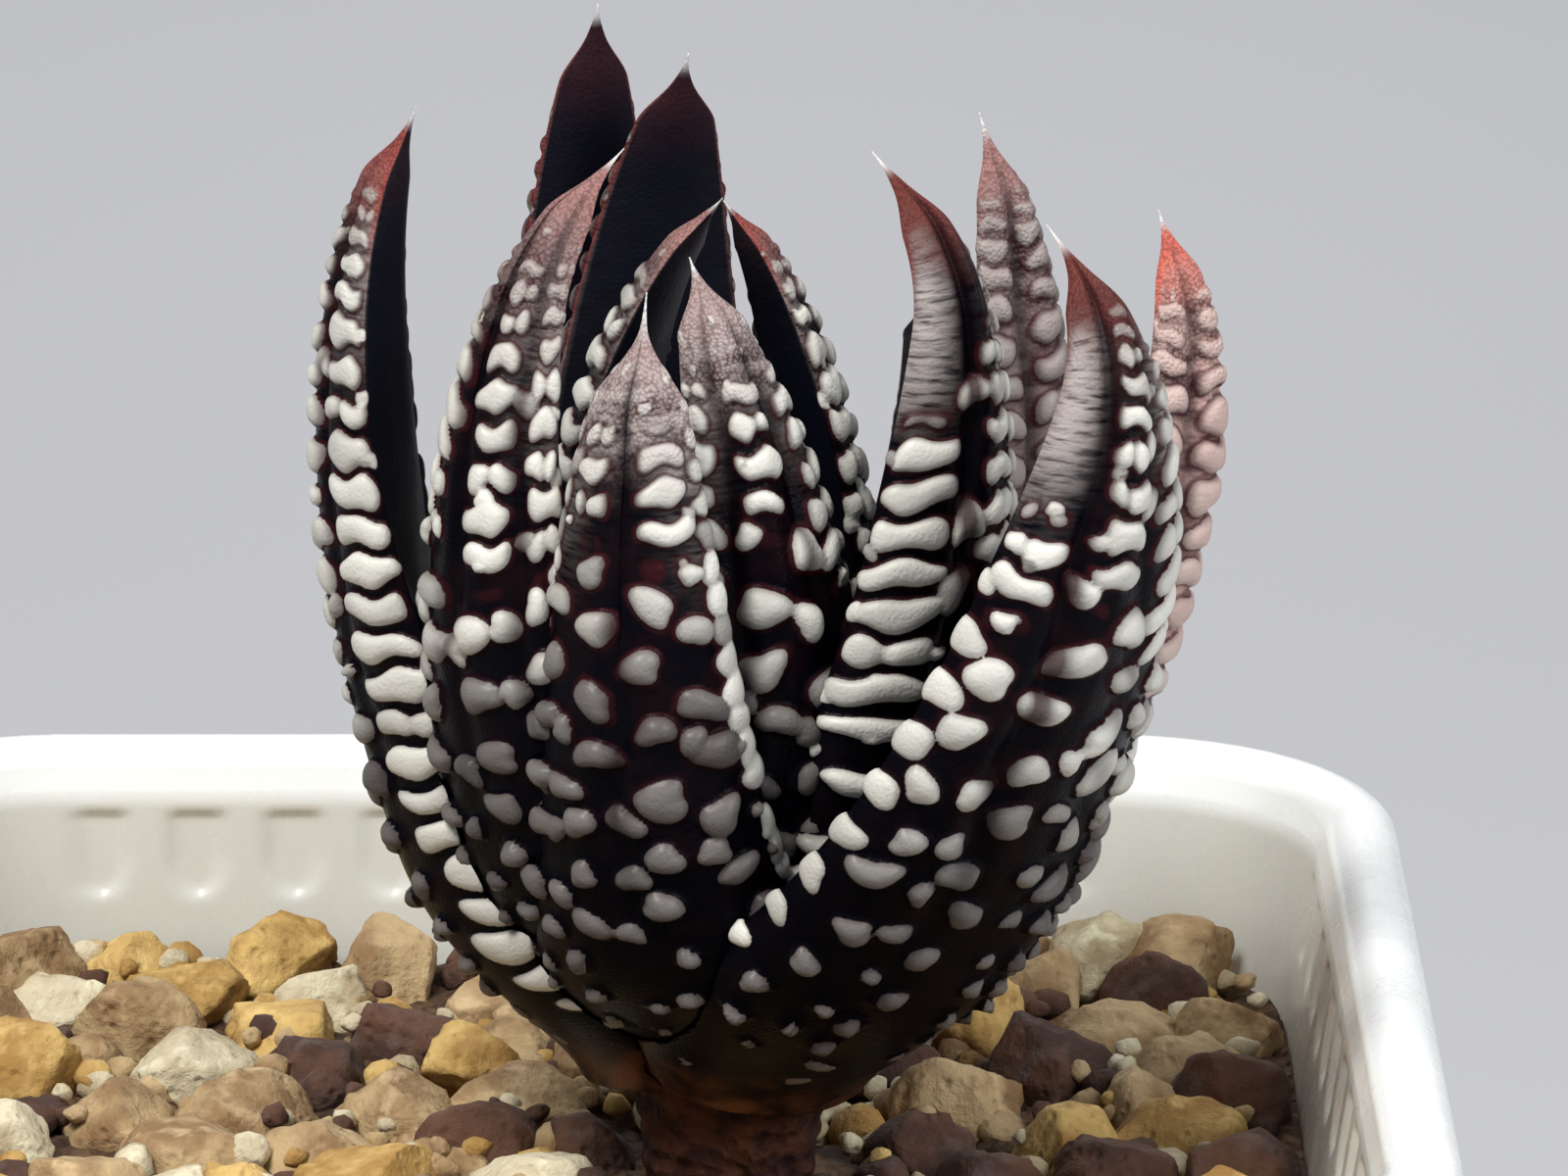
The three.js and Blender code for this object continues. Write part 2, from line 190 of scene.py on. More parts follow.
class Shader:
    """A material that is being built from nodes."""

    def __init__(self, name: str) -> None:
        """Starts a material with an empty node tree.

        Args:
            name: the material's name.
        """
        self.material = bpy.data.materials.new(name)
        self.material.use_nodes = True
        self.tree = self.material.node_tree
        self.tree.nodes.clear()

    def node(
        self,
        kind: str,
        settings: Mapping[str, object] | None = None,
        inputs: Mapping[Union[str, int], Value] | None = None,
        output: Union[str, int] = 0,
    ) -> Field:
        """Adds a node.

        Args:
            kind: the node's type.
            settings: its own settings, such as a Math node's operation. They are set first.
            inputs: the value or the link for each socket, by name or number.
            output: the socket to return.

        Returns:
            The chosen output.
        """
        made = self.tree.nodes.new(kind)
        for name, value in (settings or {}).items():
            setattr(made, name, value)
        for name, value in (inputs or {}).items():
            socket = made.inputs[name]
            if isinstance(value, Field):
                self.tree.links.new(value.socket, socket)
            elif socket.type == "RGBA":
                socket.default_value = (*value, 1.0)
            else:
                socket.default_value = value
        return Field(self, made.outputs[output] if made.outputs else None)

    def attribute(self, name: str) -> Field:
        """A number stored on the mesh's vertices."""
        return self.node("ShaderNodeAttribute", {"attribute_name": name}, output="Fac")

    def place(self) -> Field:
        """The point in the object's own frame, in metres."""
        return self.node("ShaderNodeTexCoord", output="Object")

    def noise(self, where: Field, scale: float, detail: float = 3.0, roughness: float = 0.5) -> Field:
        """Soft noise from 0 to 1: its waves in one unit, its finer layers and how strong those are."""
        inputs = {"Vector": where, "Scale": scale, "Detail": detail, "Roughness": roughness}
        return self.node("ShaderNodeTexNoise", inputs=inputs)

    def cells(self, where: Field, scale: float) -> Field:
        """The distance to the nearest of many scattered points."""
        return self.node("ShaderNodeTexVoronoi", inputs={"Vector": where, "Scale": scale}, output="Distance")

    def mix(self, share: Value, first: Value, second: Value) -> Field:
        """The colour between the first, at a share of 0, and the second, at 1."""
        settings = {"data_type": "RGBA", "clamp_factor": True}
        return self.node("ShaderNodeMix", settings, {0: share, 6: first, 7: second}, 2)

    def bump(self, height: Field, distance: float, strength: float = 1.0) -> Field:
        """The normal of a relief, where a height of 1 stands for so many metres, at some strength."""
        inputs = {"Height": height, "Distance": distance, "Strength": strength}
        return self.node("ShaderNodeBump", inputs=inputs)

    def finish(self, constants: Mapping[str, object], varying: Mapping[str, Field]) -> bpy.types.Material:
        """Ends the material in one surface.

        Args:
            constants: values set on the surface's own sockets.
            varying: what changes over the surface.

        Returns:
            The finished material.
        """
        surface = self.node("ShaderNodeBsdfPrincipled", inputs={**constants, **varying})
        self.node("ShaderNodeOutputMaterial", inputs={"Surface": surface})
        return self.material


class LeafShader(Shader):
    """A leaf's material, with the numbers on its vertices and the noises that its finish is mixed by.

    along runs from 0 at the foot to 1 at the tip. wart is how deep in a wart a point is, below 0 outside
    them, and tone how pale that wart is; the dullness of the lower warts is partly a painted shade. groove,
    inner, margin, flank and needle are 1 in a furrow, on the inner face, at the margins, on the sides of
    the back and on the needle. Mottle, grain and speck are even noises, and wrinkle and fold are drawn
    out across the leaf.
    """

    def __init__(self, name: str) -> None:
        """Reads the vertices' numbers and sets up the noises.

        Args:
            name: the material's name.
        """
        super().__init__(name)
        self.along = self.attribute("along")
        self.wart = self.attribute("wart")
        self.tone = self.attribute("tone")
        self.groove = self.attribute("groove")
        self.inner = self.attribute("inner")
        self.margin = self.attribute("margin")
        self.flank = self.attribute("flank")
        self.needle = self.attribute("needle")
        place = self.place()
        self.mottle = self.noise(place, 420.0, 4.0)
        self.grain = self.noise(place, 5200.0, 2.0)
        self.speck = self.cells(place, 4800.0)
        self.wrinkle = self.noise(self._stretched(0.6, 3.4), 1.0)
        self.fold = self.noise(self._stretched(0.34, 0.85), 1.0).ramp(0.40, 0.58)

    def _stretched(self, across: float, along: float) -> Field:
        """The skin's own place in millimetres, scaled so that noise on it makes wrinkles across the leaf.

        Args:
            across: the scale across the leaf.
            along: the scale along it.

        Returns:
            The scaled place.
        """
        run = {"X": self.attribute("side"), "Y": self.attribute("run")}
        on_skin = self.node("ShaderNodeCombineXYZ", inputs=run)
        scale = (across, along, 1.0)
        return self.node("ShaderNodeVectorMath", {"operation": "MULTIPLY"}, {0: on_skin, 1: scale})

    def mottled(self, by: float) -> Field:
        """A small change that the mottle makes to a share, up or down."""
        return (self.mottle - 0.5) * by


@dataclass(frozen=True)
class Tip:
    """How a leaf's skin colours towards its tip.

    upper is the colour of its upper part and end that of the tip itself. crinkle says how strongly the
    upper skin is wrinkled. inner_red and red_margin say how far the red reaches onto the inner face and
    down the margins.
    """

    upper: Colour
    end: Colour
    crinkle: float = 0.2
    inner_red: float = 0.04
    red_margin: float = 0.03


class TipColour(Enum):
    """The sorts of tip that the leaves have."""

    PALE = Tip((0.44, 0.375, 0.355), (0.36, 0.26, 0.245))
    BLUSH = Tip((0.225, 0.165, 0.158), (0.31, 0.16, 0.145))
    ROSY = Tip((0.215, 0.150, 0.138), (0.25, 0.060, 0.050))
    RUST = Tip((0.085, 0.034, 0.032), (0.135, 0.036, 0.029), crinkle=0.95)
    CORAL = Tip((0.50, 0.320, 0.285), (0.52, 0.125, 0.090))
    DARK = Tip((0.020, 0.013, 0.018), (0.19, 0.045, 0.040), inner_red=0.12, red_margin=0.20)


@dataclass(frozen=True)
class LeafFinish:
    """Blue-black leaf skin with bone-white warts, paler or redder towards the tip.

    The spans are shares of the leaf's length over which a change comes in or fades. The upper skin begins
    to colour at blush_from.
    """

    sort: TipColour
    blush_from: float
    blush_length: float = 0.10
    foot_fades: Span = (0.015, 0.15)
    grain_comes: Span = (0.78, 0.88)
    folds_fade: Span = (0.88, 0.95)
    crinkle_comes: Span = (0.76, 0.84)
    crinkle_fades: Span = (0.88, 0.94)
    red_comes: Span = (0.89, 0.965)
    warts_soften: Span = (0.64, 0.88)
    halo_comes: Span = (0.45, 0.72)
    # The red-brown of the rings round the warts; the same colour serves as painted shade in the folds and
    # pits of the upper skin, at the edges of the warts and between the tip's granules.
    halo_fades: Span = (0.82, 0.92)
    relief_fades: Span = (0.88, 0.96)
    skin: Colour = (0.0012, 0.0010, 0.0030)
    skin_warm: Colour = (0.0065, 0.0020, 0.0030)
    inside: Colour = (0.0040, 0.0045, 0.0090)
    halo_and_shade: Colour = (0.036, 0.0065, 0.0085)
    wart: Colour = (0.68, 0.665, 0.60)
    # The colour of the dull lower warts: partly their own grey, partly painted shade of the lower leaf.
    wart_grey_and_shade: Colour = (0.060, 0.050, 0.050)
    pale: Colour = (0.33, 0.29, 0.275)
    foot: Colour = (0.13, 0.05, 0.022)
    foot_edge: Colour = (0.42, 0.27, 0.15)
    needle: Colour = (0.62, 0.60, 0.585)

    def build(self) -> bpy.types.Material:
        """Makes the finish as a material, read from the numbers on the leaf's vertices.

        Returns:
            The material.
        """
        s = LeafShader(f"leaf_{self.sort.name.lower()}_{round(100 * self.blush_from)}")
        tip = self.sort.value
        bare = (1 - 0.94 * s.groove) * (1 - 0.97 * s.inner)
        folded = s.along.ramp(self.blush_from - 0.12, self.blush_from + 0.02) * (0.05 + 0.95 * s.flank) * bare
        blush_full = min(0.97, self.blush_from + self.blush_length)
        blush = (s.along + s.mottled(0.10)).ramp(self.blush_from, blush_full) * bare
        grainy = s.along.ramp(*self.grain_comes)
        crinkle_here = s.along.ramp(*self.crinkle_comes) * (1 - s.along.ramp(*self.crinkle_fades))
        crinkled = crinkle_here * s.flank * (1 - s.inner)
        edge = s.wart + s.mottled(0.14) + (s.grain - 0.5) * 0.05
        mask = self._wart_mask(s, edge)

        skin = self._dark_skin(s)
        pleats = (s.fold * 0.35 + s.wrinkle.ramp(0.38, 0.62) * 0.5) * (0.2 + 0.8 * tip.crinkle)
        skin = s.mix(folded * pleats, skin, self.pale)
        # Painted shade in the red-brown of the skin: the low parts of the folds and the pits between the
        # granules of the upper skin are darkened; the wrinkle term adds darker streaks of its own.
        hollow_shade = (1 - s.fold) * 0.6 * (1 - s.along.ramp(*self.folds_fade))
        hollow_shade = hollow_shade + s.speck.ramp(0.30, 0.70) * (0.12 + 0.25 * grainy)
        hollow_shade = hollow_shade + s.wrinkle.ramp(0.45, 0.8) * 0.2
        skin = s.mix(blush, skin, s.mix(hollow_shade, tip.upper, self.halo_and_shade))
        skin = s.mix(crinkled * s.wrinkle.ramp(0.30, 0.56) * tip.crinkle, skin, self.pale)
        skin = self._reddened(s, self._pale_margins(s, skin))
        skin = s.mix(s.needle, skin, self.needle)
        colour = s.mix(mask, self._haloed(s, edge, skin), self._bone(s, edge, blush))

        relief = s.grain * 0.3 + (1 - s.speck) * (0.4 + blush * grainy * 1.6)
        relief = relief + s.wrinkle * (0.15 + crinkled * 1.2)
        relief = relief + s.fold * folded * (1 - s.along.ramp(*self.relief_fades)) * (1 - mask) * 2.2
        return s.finish(
            {"Specular IOR Level": 0.05, "Coat Roughness": 0.28},
            {
                "Base Color": colour,
                "Roughness": 0.36 + s.mottled(0.2) + mask * 0.04 + blush * 0.08 + s.inner * 0.12,
                "Coat Weight": 0.01 + 0.18 * mask,
                "Normal": s.bump(relief, 0.00010, 0.6),
            },
        )

    def _dark_skin(self, s: LeafShader) -> Field:
        """The skin between the warts, brown at the foot.

        Args:
            s: the leaf's shader.

        Returns:
            Its colour.
        """
        skin = s.mix((s.mottle + s.along * 0.4).ramp(0.66, 1.0), self.skin, self.skin_warm)
        skin = s.mix(s.inner, skin, self.inside)
        foot = 1 - (s.along + s.mottled(0.08)).ramp(*self.foot_fades)
        skin = s.mix(foot * 0.9, skin, s.mix(s.mottle.ramp(0.3, 0.7), self.foot, self.skin_warm))
        return s.mix(foot * s.margin * 0.8, skin, self.foot_edge)

    def _pale_margins(self, s: LeafShader, skin: Field) -> Field:
        """Makes the upper margins paler.

        Args:
            s: the leaf's shader.
            skin: the colour so far.

        Returns:
            The new colour.
        """
        upper = s.along.ramp(self.blush_from - 0.1, self.blush_from + 0.08)
        pale = (upper * s.margin * (1 - 0.85 * s.inner)).least(1.0)
        return s.mix(pale * 0.7, skin, TipColour.BLUSH.value.upper)

    def _reddened(self, s: LeafShader, skin: Field) -> Field:
        """Gives the tip its own colour, darkened towards the red-brown between its granules as painted shade.

        Args:
            s: the leaf's shader.
            skin: the colour so far.

        Returns:
            The new colour.
        """
        tip = self.sort.value
        red = (s.along + s.mottled(0.05) + s.margin * tip.red_margin).ramp(*self.red_comes)
        red = red * (1 - 0.6 * s.groove) * (1 - (1 - tip.inner_red) * s.inner)
        # Between the tip's granules the colour is darkened towards the red-brown as painted shade.
        return s.mix(red, skin, s.mix(s.speck.ramp(0.3, 0.8) * 0.4, tip.end, self.halo_and_shade))

    def _wart_mask(self, s: LeafShader, edge: Field) -> Field:
        """Where warts show: sharply bounded below, and softly towards the tip.

        Args:
            s: the leaf's shader.
            edge: how deep in a wart a point is, with an uneven edge.

        Returns:
            The mask, 1 on a wart.
        """
        soft = s.along.ramp(*self.warts_soften)
        shown = edge.ramp(0.04, 0.16) * (1 - soft) + edge.ramp(0.0, 0.8) * soft
        return shown * (1 - 0.9 * s.groove)

    def _haloed(self, s: LeafShader, edge: Field, skin: Field) -> Field:
        """Adds the red-brown rings round the warts of the middle, where edge is just below 0."""
        ring = edge.ramp(-0.60, 0.0) * s.along.ramp(*self.halo_comes) * (1 - s.along.ramp(*self.halo_fades))
        return s.mix(ring * 0.75, skin, self.halo_and_shade)

    def _bone(self, s: LeafShader, edge: Field, blush: Field) -> Field:
        """The warts' colour: grey on the dull ones, partly as painted shade, tinged like the skin where that
        colours, and darkened at the edges as painted shade.

        Args:
            s: the leaf's shader.
            edge: how deep in the wart a point is.
            blush: how far the skin there has coloured.

        Returns:
            The colour.
        """
        # Dull warts take the grey, which on the lower leaf is partly painted shade.
        bone = s.mix(s.tone * (0.85 + 0.3 * s.mottle), self.wart_grey_and_shade, self.wart)
        bone = s.mix(blush * 0.75, bone, self.sort.value.upper)
        # Painted shade: each wart's sloping edge is darkened towards the red-brown.
        return s.mix((1 - edge.ramp(0.12, 0.5)) * 0.35, bone, self.halo_and_shade)


@lru_cache(maxsize=None)
def leaf_material(sort: TipColour, blush_from: float) -> bpy.types.Material:
    """The leaf finish with that tip, made once for all the leaves that have it."""
    return LeafFinish(sort, blush_from).build()


@dataclass(frozen=True)
class PotFinish:
    """Glossy white moulded plastic, very slightly uneven, with a painted shade that makes it darker and
    warmer inside above the grit.
    """

    colour: Colour = (0.93, 0.93, 0.905)
    shade: Colour = (0.87, 0.875, 0.85)
    # The colour of the painted shade on the inner wall.
    dusty_and_shaded: Colour = (0.56, 0.56, 0.50)

    def build(self) -> bpy.types.Material:
        """Makes the finish as a material.

        Returns:
            The material.
        """
        shader = Shader("pot_white")
        place = shader.place()
        cloud = shader.noise(place, 45.0)
        grain = shader.noise(place, 1800.0, 2.0)
        scuff = shader.noise(place, 260.0, 5.0, 0.65)
        white = shader.mix(cloud.ramp(0.35, 0.7), self.colour, self.shade)
        # Painted shade: the inner wall is mixed, a little unevenly, towards the darker, warmer colour.
        dust_and_shade = shader.attribute("inside") * (0.8 + 0.4 * (cloud - 0.5))
        return shader.finish(
            {
                "Specular IOR Level": 0.5,
                "Coat Weight": 0.3,
                "Coat Roughness": 0.12,
                "Subsurface Weight": 0.08,
            },
            {
                "Base Color": shader.mix(dust_and_shade, white, self.dusty_and_shaded),
                "Roughness": 0.25 + scuff.ramp(0.45, 0.75) * 0.15,
                "Normal": shader.bump(grain * 0.2 + cloud, 0.00002, 0.4),
            },
        )


class StoneColour(Enum):
    """The sorts of stone in the grit, each with its main colour and that of its flecks."""

    TAN = ((0.50, 0.36, 0.19), (0.26, 0.155, 0.07))
    CREAM = ((0.68, 0.60, 0.42), (0.40, 0.32, 0.19))
    GOLD = ((0.64, 0.43, 0.15), (0.36, 0.20, 0.055))
    BROWN = ((0.055, 0.026, 0.018), (0.12, 0.055, 0.032))


@dataclass(frozen=True)
class StoneFinish:
    """Dry crushed mineral with darker flecks, pale dust and small pits."""

    sort: StoneColour

    def build(self) -> bpy.types.Material:
        """Makes the finish as a material.

        Returns:
            The material.
        """
        main, fleck = self.sort.value
        # The stones' own pale dust colour.
        dusty_and_shaded = tuple(min(1.0, 1.5 * c + 0.08) for c in main)
        speckle = tuple(0.4 * c for c in fleck)
        shader = Shader("stone_" + self.sort.name.lower())
        place = shader.place()
        cloud = shader.noise(place, 190.0, 4.0, 0.6)
        grain = shader.noise(place, 1500.0, 5.0, 0.65)
        pits = shader.cells(place, 900.0)
        dust_and_shade = shader.noise(place, 520.0)
        colour = shader.mix(cloud.ramp(0.38, 0.62), main, fleck)
        colour = shader.mix(dust_and_shade.ramp(0.52, 0.72) * 0.45, colour, dusty_and_shaded)
        colour = shader.mix(grain.ramp(0.60, 0.75) * 0.5, colour, speckle)
        return shader.finish(
            {"Specular IOR Level": 0.35},
            {
                "Base Color": colour,
                "Roughness": 0.72 + grain * 0.2,
                "Normal": shader.bump(grain + pits.ramp(0.0, 0.35) * 0.6, 0.00045, 0.7),
            },
        )


@dataclass(frozen=True)
class EarthFinish:
    """Crumbly brown earth or bark: the fines between the stones, and the rough foot of the stem."""

    name: str
    light: Colour
    dark: Colour

    def build(self) -> bpy.types.Material:
        """Makes the finish as a material.

        Returns:
            The material.
        """
        shader = Shader(self.name)
        place = shader.place()
        crumb = shader.cells(place, 1100.0)
        cloud = shader.noise(place, 600.0, 5.0, 0.6)
        return shader.finish(
            {"Specular IOR Level": 0.25},
            {
                "Base Color": shader.mix(cloud.ramp(0.35, 0.68), self.dark, self.light),
                "Roughness": 0.8 + cloud * 0.15,
                "Normal": shader.bump(crumb + cloud, 0.0006, 0.8),
            },
        )


@dataclass(frozen=True)
class FloorFinish:
    """A matt pale sheet."""

    colour: Colour = (0.475, 0.475, 0.49)

    def build(self) -> bpy.types.Material:
        """Makes the finish as a material.

        Returns:
            The material.
        """
        shader = Shader("floor_pale")
        cloud = shader.noise(shader.place(), 3.0, 2.0)
        lighter = tuple(c * 1.03 for c in self.colour)
        return shader.finish(
            {"Roughness": 0.9, "Specular IOR Level": 0.1},
            {"Base Color": shader.mix(cloud, self.colour, lighter)},
        )


@dataclass(frozen=True)
class PotForm:
    """The pot's sizes, from which its outline, its inner wall and the room for the grit follow."""

    height: float = 79.3
    rim_half: float = 44.5
    rim_width: float = 4.0
    rim_drop: float = 12.0
    rim_round: float = 1.7
    rim_draft: float = 0.5
    wall: float = 1.6
    wall_draft: float = 0.15
    floor: float = 3.0
    base_round: float = 0.9
    corner: float = 16.0
    corner_draft: float = 0.1
    drain_radius: float = 3.5
    drain_spacing: float = 17.0

    def inner_half(self, z: float) -> float:
        """Half the width of the space inside the pot at a height."""
        return self.rim_half - self.rim_width - (self.height - z) * self.wall_draft

    def corner_for(self, half: float, z: float) -> float:
        """The corner radius of a skin of the pot with that half width at a height."""
        return self.corner - (self.rim_half - half) + (self.height - z) * self.corner_draft


@dataclass(frozen=True)
class Bed:
    """The room that the grit has in the pot, at the height of the fines under the stones."""

    pot: PotForm = field(default_factory=PotForm)
    height: float = 67.6
    fit: float = 0.3

    @property
    def half(self) -> float:
        """Half its width."""
        return self.pot.inner_half(self.height) - self.fit

    @property
    def corner(self) -> float:
        """The radius of its corners."""
        return self.pot.corner_for(self.half, self.height)

    @property
    def core(self) -> float:
        """How far out the middle of each corner's arc lies."""
        return self.half - self.corner

    def overruns(self, x: float, y: float, radius: float) -> bool:
        """Whether a stone there would reach past a rounded corner."""
        dx, dy = abs(x) - self.core, abs(y) - self.core
        return dx > 0 and dy > 0 and np.hypot(dx, dy) > self.corner - radius

    def drawn_in(self, x: float, y: float, radius: float) -> Span:
        """The place of a stone, moved in where it would reach past a rounded corner.

        Args:
            x: its place along the front.
            y: its place from front to back.
            radius: its radius.

        Returns:
            Its new x and y.
        """
        if not self.overruns(x, y, radius):
            return x, y
        dx, dy = abs(x) - self.core, abs(y) - self.core
        k = (self.corner - radius) / np.hypot(dx, dy)
        return np.sign(x) * (self.core + dx * k), np.sign(y) * (self.core + dy * k)


@dataclass(frozen=True)
class Recesses:
    """The row of shallow recesses in the pot's inner wall, square above and rounded below."""

    pitch: float = 5.4
    width: float = 3.3
    below_top: float = 3.6
    height: float = 5.0
    depth: float = 0.35

    def depth_at(self, run: np.ndarray, below: np.ndarray) -> np.ndarray:
        """How far the wall is sunk.

        Args:
            run: each point's place along the wall, from its middle.
            below: how far each point lies below the pot's top.

        Returns:
            The depth at each point.
        """
        apart = np.abs((run / self.pitch + 0.5) % 1 - 0.5) * self.pitch / (self.width / 2)
        rise = (self.below_top + self.height / 2 - below) / (self.height / 2)
        reach = np.maximum(apart, (apart**2 + np.maximum(0, -rise) ** 2) ** 0.5 * (rise < 0))
        return self.depth * smooth(1.05, 0.72, reach) * smooth(1.05, 0.80, rise) * smooth(1.3, 0.9, -rise)


@dataclass
class Pot:
    """The square plastic pot, with a rounded rim, a band under it and drain holes in its base.

    lip holds the points of the band's lower edge: how far each lies inside the rim, and above the band's
    foot.
    """

    form: PotForm = field(default_factory=PotForm)
    finish: PotFinish = field(default_factory=PotFinish)
    recesses: Recesses = field(default_factory=Recesses)
    lip: tuple[Span, ...] = ((1.3, 0.1), (0.7, 0.7))
    lip_step: float = 0.5
    floor_bevel: float = 0.6
    # How far below the top the painted shade on the inner wall begins and is full.
    inner_shade_from: float = 2.6
    inner_shade_full: float = 3.6
    side_points: int = 124
    corner_points: int = 26
    hole_points: int = 32

    def build(self) -> bpy.types.Object:
        """Makes the pot in place of its solid.

        Returns:
            The finished piece.
        """
        rings = np.stack([self._ring(half, z) for half, z in self._profile()])
        rim = np.argmax(rings[:, 0, 2])
        rings = self._recessed(rings, rim)
        count = rings.shape[1]
        pot = mesh_object("pot_shell", rings.reshape(-1, 3), loft_faces(len(rings), count))
        under_rim = (np.arange(len(rings)) > rim)[:, None]
        top = self.form.height
        # The painted shade on the inner wall: 1 from a little under the rim down to the floor inside.
        inside = under_rim * smooth(top - self.inner_shade_from, top - self.inner_shade_full, rings[..., 2])
        set_attribute(pot.data, "inside", inside.ravel())
        self._close(pot, len(rings), count)
        pot.data.materials.append(self.finish.build())
        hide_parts("pot")
        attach(pot, "root")
        return pot

    def _profile(self) -> list[Span]:
        """Runs along the wall from the underside, over the rim and down to the floor inside.

        Returns:
            The half width and the height of each ring.
        """
        f = self.form
        top, band = f.height, f.height - f.rim_drop
        side_low, side_high = 6.0, band - 0.5
        band_low, band_high = band + 1.8, top - 2.2
        recessed_high, recessed_low = top - 2.4, top - 11.0
        inner_high, inner_low = top - 14.0, f.floor + 1.0
        foot, bend = f.inner_half(0) + f.wall, f.base_round
        points = [(foot - bend * (1 - sin(a)), bend * (1 - cos(a))) for a in np.linspace(0, pi / 2, 5)]
        points += [(f.inner_half(z) + f.wall, z) for z in np.linspace(side_low, side_high, 14)]
        points.append((f.inner_half(band) + f.wall + self.lip_step, band))
        points += [(f.rim_half - inset, band + rise) for inset, rise in self.lip]
        for z in np.linspace(band_low, band_high, 7):
            points.append((f.rim_half - f.rim_draft * (top - z) / f.rim_drop, z))
        radius, rise = f.rim_width / 2, f.rim_round
        for angle in np.linspace(0, pi, 15):
            points.append((f.rim_half - radius + radius * cos(angle), top - rise + rise * sin(angle)))
        points += [(f.inner_half(z), z) for z in np.linspace(recessed_high, recessed_low, 34)]
        points += [(f.inner_half(z), z) for z in np.linspace(inner_high, inner_low, 10)]
        points.append((f.inner_half(f.floor) - self.floor_bevel, f.floor))
        return points

    def _ring(self, half: float, z: float) -> Points:
        """A rounded square, with each side finely stepped.

        Args:
            half: half its width.
            z: its height.

        Returns:
            Its points, in order round it.
        """
        radius = max(1.0, self.form.corner_for(half, z))
        core = half - radius
        straight = np.linspace(-1, 1, self.side_points, endpoint=False) * core
        turn = np.linspace(0, pi / 2, self.corner_points, endpoint=False)
        across = np.stack([np.full_like(straight, half), straight], axis=1)
        bend = np.stack([core + radius * np.cos(turn), core + radius * np.sin(turn)], axis=1)
        side = np.concatenate([across, bend])
        points = []
        for quarter in range(4):
            c, s = cos(quarter * pi / 2), sin(quarter * pi / 2)
            points.append(side @ np.array([[c, s], [-s, c]]))
        flat = np.concatenate(points)
        return np.column_stack([flat, np.full(len(flat), z)])

    def _recessed(self, rings: Points, rim: int) -> Points:
        """Sinks the row of small recesses into the inner wall under the rim.

        Args:
            rings: the wall's points, ring by ring.
            rim: the number of the topmost ring.

        Returns:
            The points with the recesses.
        """
        f = self.form
        inside = np.arange(len(rings)) >= rim + 2
        x, y, z = rings[..., 0], rings[..., 1], rings[..., 2]
        sideways = np.abs(x) > np.abs(y)
        run = np.where(sideways, y, x)
        straight_to = f.rim_half - f.corner
        straight = smooth(straight_to + 1, straight_to - 1, np.abs(run))
        depth = self.recesses.depth_at(run, f.height - z) * straight * inside[:, None]
        moved = rings.copy()
        moved[..., 0] += np.where(sideways, np.sign(x), 0) * depth
        moved[..., 1] += np.where(sideways, 0, np.sign(y)) * depth
        return moved

    def _close(self, pot: bpy.types.Object, rings: int, count: int) -> None:
        """Closes the base, above and below, round its drain holes.

        Args:
            pot: the pot's wall, open at the base.
            rings: how many rings of points it has.
            count: how many points each has.
        """
        mesh = bmesh.new()
        mesh.from_mesh(pot.data)
        mesh.verts.ensure_lookup_table()
        borders = [[mesh.verts[start + i] for i in range(count)] for start in (0, (rings - 1) * count)]
        sides = []
        for border, z in zip(borders, (0.0, self.form.floor)):
            edges = [mesh.edges.get((border[i], border[(i + 1) % count])) for i in range(count)]
            holes = []
            for x, y in ((0, 0), (1, 1), (-1, 1), (-1, -1), (1, -1)):
                hole = self._hole(mesh, x, y, z)
                edges += [mesh.edges.new((a, b)) for a, b in zip(hole, hole[1:] + hole[:1])]
                holes.append(hole)
            bmesh.ops.triangle_fill(mesh, edges=edges, use_beauty=True)
            sides.append(holes)
        for low, high in zip(*sides):
            for a, b, c, d in zip(low, high, high[1:] + high[:1], low[1:] + low[:1]):
                mesh.faces.new((a, b, c, d))
        bmesh.ops.recalc_face_normals(mesh, faces=mesh.faces)
        for face in mesh.faces:
            face.smooth = abs(face.normal.z) < 0.99
        mesh.to_mesh(pot.data)
        mesh.free()

    def _hole(self, mesh: bmesh.types.BMesh, x: int, y: int, z: float) -> list[bmesh.types.BMVert]:
        """Adds the points of one drain hole's edge.

        Args:
            mesh: the mesh they are added to.
            x: the hole's place, in spacings from the middle.
            y: the same, from front to back.
            z: the height of this edge.

        Returns:
            The points, in order round the hole.
        """
        f = self.form
        points = []
        for angle in np.linspace(0, 2 * pi, self.hole_points, endpoint=False):
            x_at = x * f.drain_spacing + f.drain_radius * cos(angle)
            y_at = y * f.drain_spacing + f.drain_radius * sin(angle)
            points.append(mesh.verts.new(Vector((x_at, y_at, z)) * MM))
        return points


@dataclass(frozen=True)
class Stone:
    """One stone of the grit. Its key decides what is drawn for it."""

    x: float
    y: float
    radius: float
    top: float
    key: float


